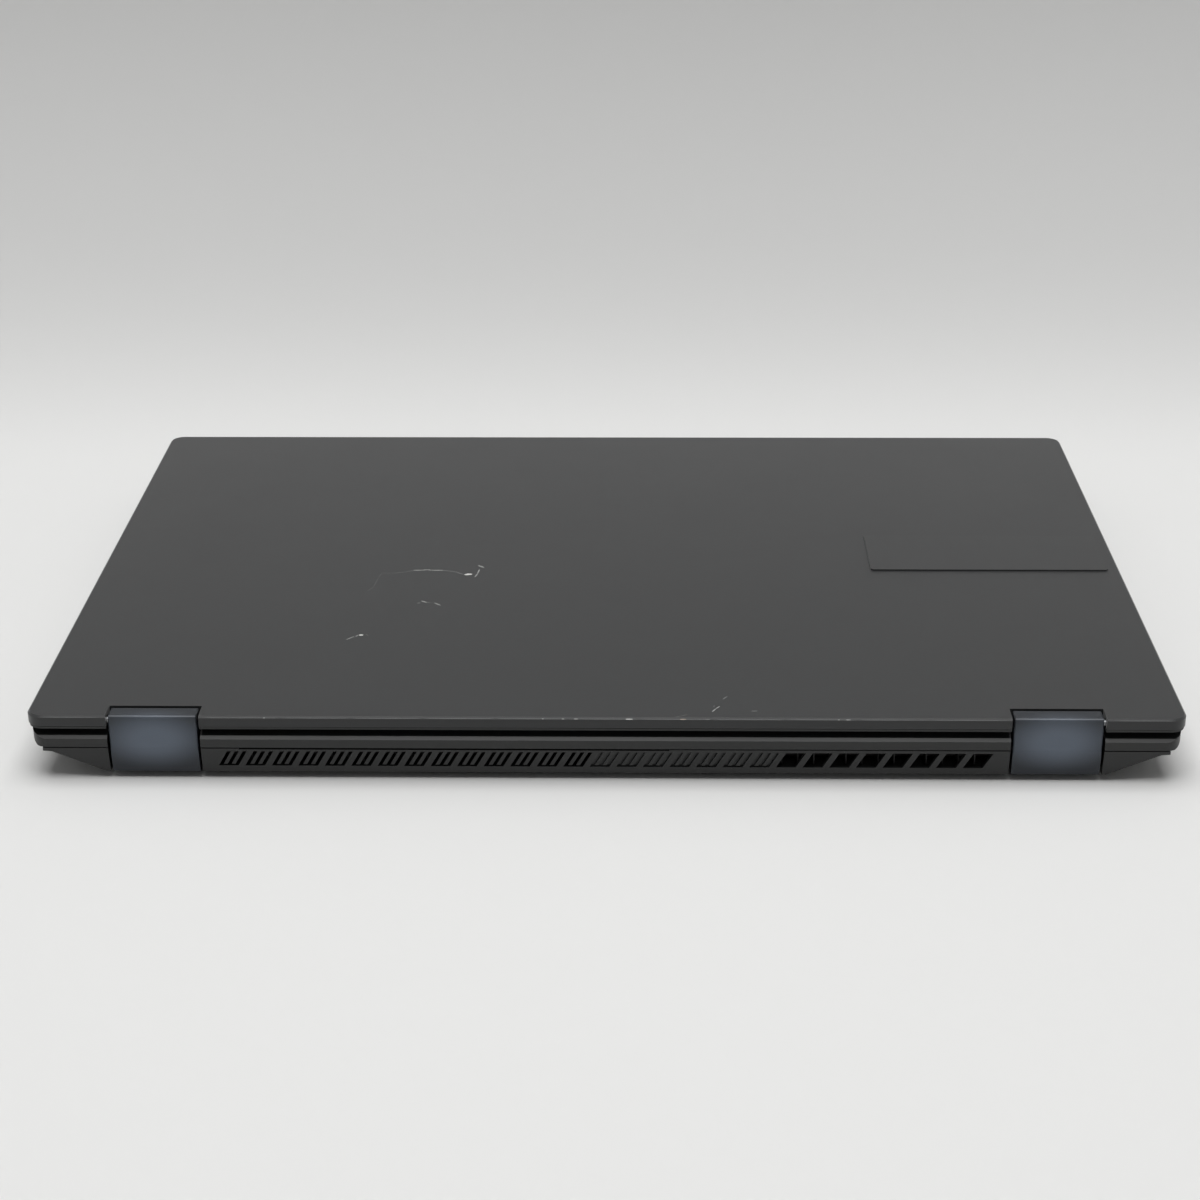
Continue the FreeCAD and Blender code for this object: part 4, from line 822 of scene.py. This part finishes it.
class LAPTOP_OT_socket_finish(bpy.types.Operator):
    """Dresses the sockets in the sides of the base"""

    bl_idname = "laptop.socket_finish"
    bl_label = "Socket finish"

    def execute(self, context):
        # Nickel-plated brass shells: pale metal with fine wear from plugs.
        nickel = surface(
            "nickel plate", linear("b3b0a8"), roughness=0.28, grain=0.6, relief=0.003, metallic=1.0
        )
        dress(["video_socket", "usb_c_socket"] + sided("usb_a_socket"), nickel)
        # Moulded nylon round the contacts: black with a low shine.
        nylon = surface(
            "socket nylon", linear("161617"), roughness=0.4, grain=0.6, relief=0.006, ior=1.53
        )
        dress(["power_inlet", "audio_jack"], nylon)
        return {"FINISHED"}


class LAPTOP_OT_keycaps(bpy.types.Operator):
    """Builds rounded keycaps in the places of the CAD keys"""

    bl_idname = "laptop.keycaps"
    bl_label = "Keycaps"

    def execute(self, context):
        looks = context.scene.laptop_looks
        # Moulded key plastic: dark, with a fine matt texture that fingers polish a little.
        plastic = surface(
            "matt key plastic", looks.key_colour, roughness=0.48, grain=0.7, relief=0.01
        )
        for node in KEY_NODES:
            shape = key_shapes(node)
            top = max(corner.co.z for corner in shape.verts)
            foot = min(corner.co.z for corner in shape.verts)
            uprights = []
            for edge in shape.edges:
                rise = abs(edge.verts[0].co.z - edge.verts[1].co.z)
                if rise > (top - foot) / 2:
                    uprights.append(edge)
            round_edges(shape, uprights, looks.key_corner, KEY_CORNER_STEPS)
            rims = []
            for edge in shape.edges:
                if min(corner.co.z for corner in edge.verts) > top - CORNER_MERGE:
                    rims.append(edge)
            round_edges(shape, rims, looks.key_edge)
            made = piece(f"rounded_{node}", shape, [plastic], node)
            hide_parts(node)
        return {"FINISHED"}


class LAPTOP_OT_legends(bpy.types.Operator):
    """Prints generic legends on the keys"""

    bl_idname = "laptop.legends"
    bl_label = "Key legends"

    def execute(self, context):
        looks = context.scene.laptop_looks
        # Screen-printed ink: pale grey and slightly shiny.
        ink = surface(
            "pale key print",
            looks.legend_colour,
            roughness=0.4,
            grain=0.6,
            relief=0.002,
            mottling=0.03,
        )
        for node, line in LEGENDS.items():
            words = line.split()
            tops = key_tops(node)
            if len(words) != len(tops):
                raise RuntimeError(f"{node} has {len(tops)} keys and {len(words)} legends")
            shape = bmesh.new()
            for word, (left, right, front, rear, top) in zip(words, tops):
                height = looks.letter_height if len(word) == 1 else looks.word_height
                # Words shrink to fit the key, and rows of half height take smaller print.
                most_deep = LEGEND_DEPTH * (rear - front)
                most_wide = LEGEND_WIDTH * (right - left) / len(word)
                mesh = letters(word, min(height, most_deep, most_wide))
                middle = ((left + right) / 2, (front + rear) / 2, top)
                mesh.transform(Matrix.Translation(middle))
                shape.from_mesh(mesh)
                bpy.data.meshes.remove(mesh)
            bmesh.ops.remove_doubles(shape, verts=shape.verts, dist=LETTER_MERGE)
            piece(f"{node}_legends", shape, [ink], node)
        return {"FINISHED"}


class LAPTOP_OT_cover_screws(bpy.types.Operator):
    """Builds the screw heads that hold the bottom cover"""

    bl_idname = "laptop.cover_screws"
    bl_label = "Cover screws"

    def execute(self, context):
        looks = context.scene.laptop_looks
        # Black-oxide steel: dark metal with a soft shine.
        steel = surface(
            "black-oxide steel",
            linear("3c3d3f"),
            roughness=0.35,
            grain=0.5,
            relief=0.004,
            metallic=1.0,
        )
        # The recess of a cross slot reads as plain black.
        shadow = surface(
            "recess shadow", linear("0b0b0b"), roughness=0.7, grain=0.5, relief=0.004
        )
        materials = [steel, shadow]
        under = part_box("bottom_cover")[0].z
        radius, height = looks.screw_radius, looks.screw_height
        shape = bmesh.new()
        for x, y in COVER_SCREWS:
            middle = Matrix.Translation((x * MM, y * MM, under - height / 2))
            head = bmesh.ops.create_cone(
                shape,
                cap_ends=True,
                segments=SCREW_SEGMENTS,
                radius1=radius * SCREW_FACE,
                radius2=radius,
                depth=height,
                matrix=middle,
            )
            outer = min(faces_at(head["verts"]), key=lambda face: face.calc_center_median().z)
            round_edges(shape, list(outer.edges), height * SCREW_RIM)
            size = (radius * CROSS_LENGTH, radius * CROSS_WIDTH, height * CROSS_DEPTH)
            for turn in (0.0, math.pi / 2):
                bar = Matrix.Translation((0.0, 0.0, -height * CROSS_DROP)) @ middle
                bar = bar @ Matrix.Rotation(turn, 4, "Z") @ Matrix.Diagonal((*size, 1.0))
                made = bmesh.ops.create_cube(shape, size=1.0, matrix=bar)
                for face in faces_at(made["verts"]):
                    face.material_index = materials.index(shadow)
        piece("cover_screws", shape, materials, "base")
        return {"FINISHED"}


class LAPTOP_OT_lid_wear(bpy.types.Operator):
    """Lays the scratches, paint chips and the painted highlight of the rear edge on the lid"""

    bl_idname = "laptop.lid_wear"
    bl_label = "Lid wear"

    def execute(self, context):
        # Marks scatter light more than the paint round them, so all are pale and dull; the first of them
        # is a painted highlight along the rear edge, not a mark.
        bare = []
        for name, code in MARKS.values():
            bare.append(
                surface(name, linear(code), roughness=0.7, grain=0.5, relief=0.01, mottling=0.1)
            )
        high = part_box("lid_cover")[1]
        piece("lid_scratches", self.scratches(high.z), bare, "lid")
        piece("lid_edge_chips_and_highlight", self.edge_marks(high), bare, "lid")
        return {"FINISHED"}

    def scratches(self, top):
        """The marks on the lid's top, one patch for each straight stretch."""
        shape = bmesh.new()
        for points, width, depth in LID_SCRATCHES:
            # Deeper marks lie over lighter ones where two meet.
            lift = PRINT_LIFT * (1 + DEPTHS.index(depth) / len(DEPTHS))
            for start, end in zip(points, points[1:]):
                start = Vector((*start, 0.0)) * MM
                end = Vector((*end, 0.0)) * MM
                along = end - start
                place = Matrix.Translation((start + end) / 2 + Vector((0.0, 0.0, top + lift)))
                place = place @ Matrix.Rotation(math.atan2(along.y, along.x), 4, "Z")
                self.mark(shape, place, along.length + width * MM, width * MM, depth)
        return shape

    def edge_marks(self, high):
        """The marks on the rear edge's bevel: long strips of painted highlight, and chips over them."""
        edge = Matrix.Translation((0.0, high.y - EDGE_IN, high.z - EDGE_DOWN))
        edge = edge @ Matrix.Rotation(EDGE_SLOPE, 4, "X")
        shape = bmesh.new()
        # Painted highlight along the rear edge, laid in short overlapping strips.
        for start, end in EDGE_HIGHLIGHTS:
            count = math.ceil((end - start) / EDGE_HIGHLIGHT_LENGTH)
            step = (end - start) / count
            for index in range(count):
                x = start + (index + 0.5) * step
                place = edge @ Matrix.Translation((x * MM, 0.0, 0.0))
                self.mark(shape, place, EDGE_HIGHLIGHT_OVERLAP * step * MM, EDGE_HIGHLIGHT_WIDTH, "edge_highlight")
        for x, length, depth in EDGE_CHIPS:
            place = edge @ Matrix.Translation((x * MM, 0.0, PRINT_LIFT / 2))
            self.mark(shape, place, length * MM, CHIP_WIDTH, depth)
        return shape

    def mark(self, shape, place, length, width, depth):
        """A thin patch with rounded ends; place is the middle of its top face."""
        place = place @ Matrix.Translation((0.0, 0.0, -PRINT_DEPTH / 2))
        place = place @ Matrix.Diagonal((length / 2, width / 2, 1.0, 1.0))
        made = bmesh.ops.create_cone(
            shape,
            cap_ends=True,
            segments=MARK_CORNERS,
            radius1=1.0,
            radius2=1.0,
            depth=PRINT_DEPTH,
            matrix=place,
        )
        for face in faces_at(made["verts"]):
            face.material_index = DEPTHS.index(depth)


class LAPTOP_OT_stage(bpy.types.Operator):
    """Sets the paper floor, the softbox, the room and the camera"""

    bl_idname = "laptop.stage"
    bl_label = "Stage"

    def execute(self, context):
        scene = context.scene
        colour = (*scene.laptop_looks.floor_colour, 1.0)
        self.lay_paper(scene, self.paper(colour))
        self.hang_softbox(scene)
        self.set_room(scene, colour)
        self.place_camera(scene)
        scene.view_settings.view_transform = "Standard"
        return {"FINISHED"}

    def paper(self, colour):
        """White paper: dull, with painted shade where it rises behind the laptop."""
        material = bpy.data.materials.new("white paper")
        material.use_nodes = True
        tree = material.node_tree
        shader = tree.nodes["Principled BSDF"]
        shader.inputs["Roughness"].default_value = PAPER_ROUGHNESS
        shader.inputs["Specular IOR Level"].default_value = PAPER_SHINE
        place = add_node(tree, "ShaderNodeTexCoord")
        split = add_node(
            tree, "ShaderNodeSeparateXYZ", links={"Vector": place.outputs["Object"]}
        )
        # Painted shade: the paper's colour darkens along y where it rises.
        painted_shade = add_node(
            tree,
            "ShaderNodeMapRange",
            {"From Min": PAPER_SHADE_NEAR, "From Max": PAPER_SHADE_FAR, "To Min": 1.0, "To Max": PAPER_SHADE_LEVEL},
            {"Value": split.outputs["Y"]},
            interpolation_type="SMOOTHSTEP",
        )
        tint = add_node(
            tree,
            "ShaderNodeHueSaturation",
            {"Color": colour},
            {"Value": painted_shade.outputs["Result"]},
        )
        tree.links.new(tint.outputs["Color"], shader.inputs["Base Color"])
        # Far from the laptop the paper looks as evenly pale as the wall, in every view.
        away = add_node(
            tree,
            "ShaderNodeVectorMath",
            links={0: place.outputs["Object"]},
            operation="LENGTH",
        )
        far = add_node(
            tree,
            "ShaderNodeMapRange",
            {"From Min": PALE_NEAR, "From Max": PALE_FAR},
            {"Value": away.outputs["Value"]},
            interpolation_type="SMOOTHSTEP",
        )
        seen = add_node(
            tree,
            "ShaderNodeMath",
            links={0: far.outputs["Result"], 1: seeing_rays(tree)},
            operation="MULTIPLY",
        )
        glow = add_node(tree, "ShaderNodeEmission", {"Color": colour})
        front = add_node(
            tree,
            "ShaderNodeMixShader",
            links={0: seen.outputs["Value"], 1: shader.outputs["BSDF"], 2: glow.outputs["Emission"]},
        )
        # From behind the paper is clear, so it hides nothing when the laptop is seen from its front.
        side = add_node(tree, "ShaderNodeNewGeometry")
        clear = add_node(tree, "ShaderNodeBsdfTransparent")
        sheet = add_node(
            tree,
            "ShaderNodeMixShader",
            links={
                0: side.outputs["Backfacing"],
                1: front.outputs["Shader"],
                2: clear.outputs["BSDF"],
            },
        )
        tree.links.new(sheet.outputs["Shader"], tree.nodes["Material Output"].inputs["Surface"])
        return material

    def lay_paper(self, scene, paper):
        """Lays the paper level under the laptop and sweeps it up behind."""
        shape = bmesh.new()
        bmesh.ops.create_grid(
            shape, x_segments=SWEEP_COLUMNS, y_segments=SWEEP_STEPS, size=SWEEP_SIZE
        )
        for corner in shape.verts:
            past = SWEEP_START - corner.co.y
            if past > 0:
                turn = min(past / SWEEP_RADIUS, SWEEP_TURN)
                rest = past - turn * SWEEP_RADIUS
                corner.co.y = SWEEP_START - SWEEP_RADIUS * math.sin(turn) - rest * math.cos(turn)
                corner.co.z = SWEEP_RADIUS * (1 - math.cos(turn)) + rest * math.sin(turn)
        for face in shape.faces:
            face.smooth = True
        mesh = bpy.data.meshes.new("paper floor")
        shape.to_mesh(mesh)
        shape.free()
        mesh.materials.append(paper)
        floor = bpy.data.objects.new("paper floor", mesh)
        scene.collection.objects.link(floor)

    def hang_softbox(self, scene):
        """Hangs one square softbox that shines straight down."""
        lamp = bpy.data.lights.new("overhead softbox", "AREA")
        lamp.size = SOFTBOX_SIZE
        lamp.energy = SOFTBOX_POWER
        made = bpy.data.objects.new("overhead softbox", lamp)
        made.location = SOFTBOX_PLACE
        scene.collection.objects.link(made)

    def set_room(self, scene, colour):
        """Shows a pale wall past the paper's end, while the light from there stays low."""
        world = bpy.data.worlds.new("studio")
        scene.world = world
        world.use_nodes = True
        tree = world.node_tree
        sky = tree.nodes["Background"]
        sky.inputs["Color"].default_value = (1.0, 1.0, 1.0, 1.0)
        sky.inputs["Strength"].default_value = ROOM_LIGHT
        wall = add_node(tree, "ShaderNodeBackground", {"Color": colour})
        mix = add_node(
            tree,
            "ShaderNodeMixShader",
            links={
                0: seeing_rays(tree),
                1: sky.outputs["Background"],
                2: wall.outputs["Background"],
            },
        )
        tree.links.new(mix.outputs["Shader"], tree.nodes["World Output"].inputs["Surface"])

    def place_camera(self, scene):
        """Puts the camera where the photo was taken from."""
        view = bpy.data.cameras.new("photo camera")
        view.lens = CAMERA_LENS
        made = bpy.data.objects.new("photo camera", view)
        # At no yaw and no pitch the camera looks level along -y.
        turn = Matrix.Rotation(math.radians(180 + CAMERA_YAW), 4, "Z")
        turn = turn @ Matrix.Rotation(math.radians(90 - CAMERA_PITCH), 4, "X")
        turn = turn @ Matrix.Rotation(math.radians(-CAMERA_ROLL), 4, "Z")
        made.matrix_world = Matrix.Translation(Vector(CAMERA_PLACE) * MM) @ turn
        scene.collection.objects.link(made)
        scene.camera = made


OPERATORS = (
    LAPTOP_OT_lid_finish,
    LAPTOP_OT_case_finish,
    LAPTOP_OT_seam_shadow,
    LAPTOP_OT_hinge_finish,
    LAPTOP_OT_deck_finish,
    LAPTOP_OT_inside_finish,
    LAPTOP_OT_socket_finish,
    LAPTOP_OT_keycaps,
    LAPTOP_OT_legends,
    LAPTOP_OT_cover_screws,
    LAPTOP_OT_lid_wear,
    LAPTOP_OT_stage,
)


class LAPTOP_PT_build(bpy.types.Panel):
    """Lists the looks that can be changed and the steps that build them"""

    bl_idname = "LAPTOP_PT_build"
    bl_label = "Laptop computer"
    bl_space_type = "VIEW_3D"
    bl_region_type = "UI"
    bl_category = "Laptop"

    def draw(self, context):
        looks = context.scene.laptop_looks
        for name in LaptopLooks.__annotations__:
            self.layout.prop(looks, name)
        for step in OPERATORS:
            self.layout.operator(step.bl_idname)


CLASSES = (LaptopLooks, *OPERATORS, LAPTOP_PT_build)


def register():
    """Registers the classes and hangs the looks on the scene."""
    for item in CLASSES:
        bpy.utils.register_class(item)
    bpy.types.Scene.laptop_looks = bpy.props.PointerProperty(type=LaptopLooks)


def unregister():
    """Takes the looks off the scene and drops the classes."""
    del bpy.types.Scene.laptop_looks
    for item in reversed(CLASSES):
        bpy.utils.unregister_class(item)


def main():
    """Builds every piece in order."""
    register()
    bpy.ops.laptop.lid_finish()
    bpy.ops.laptop.case_finish()
    bpy.ops.laptop.seam_liner()
    bpy.ops.laptop.hinge_finish()
    bpy.ops.laptop.deck_finish()
    bpy.ops.laptop.inside_finish()
    bpy.ops.laptop.socket_finish()
    bpy.ops.laptop.keycaps()
    bpy.ops.laptop.legends()
    bpy.ops.laptop.cover_screws()
    bpy.ops.laptop.lid_wear()
    bpy.ops.laptop.stage()
    bpy.context.view_layer.update()


if __name__ == "__main__":
    main()
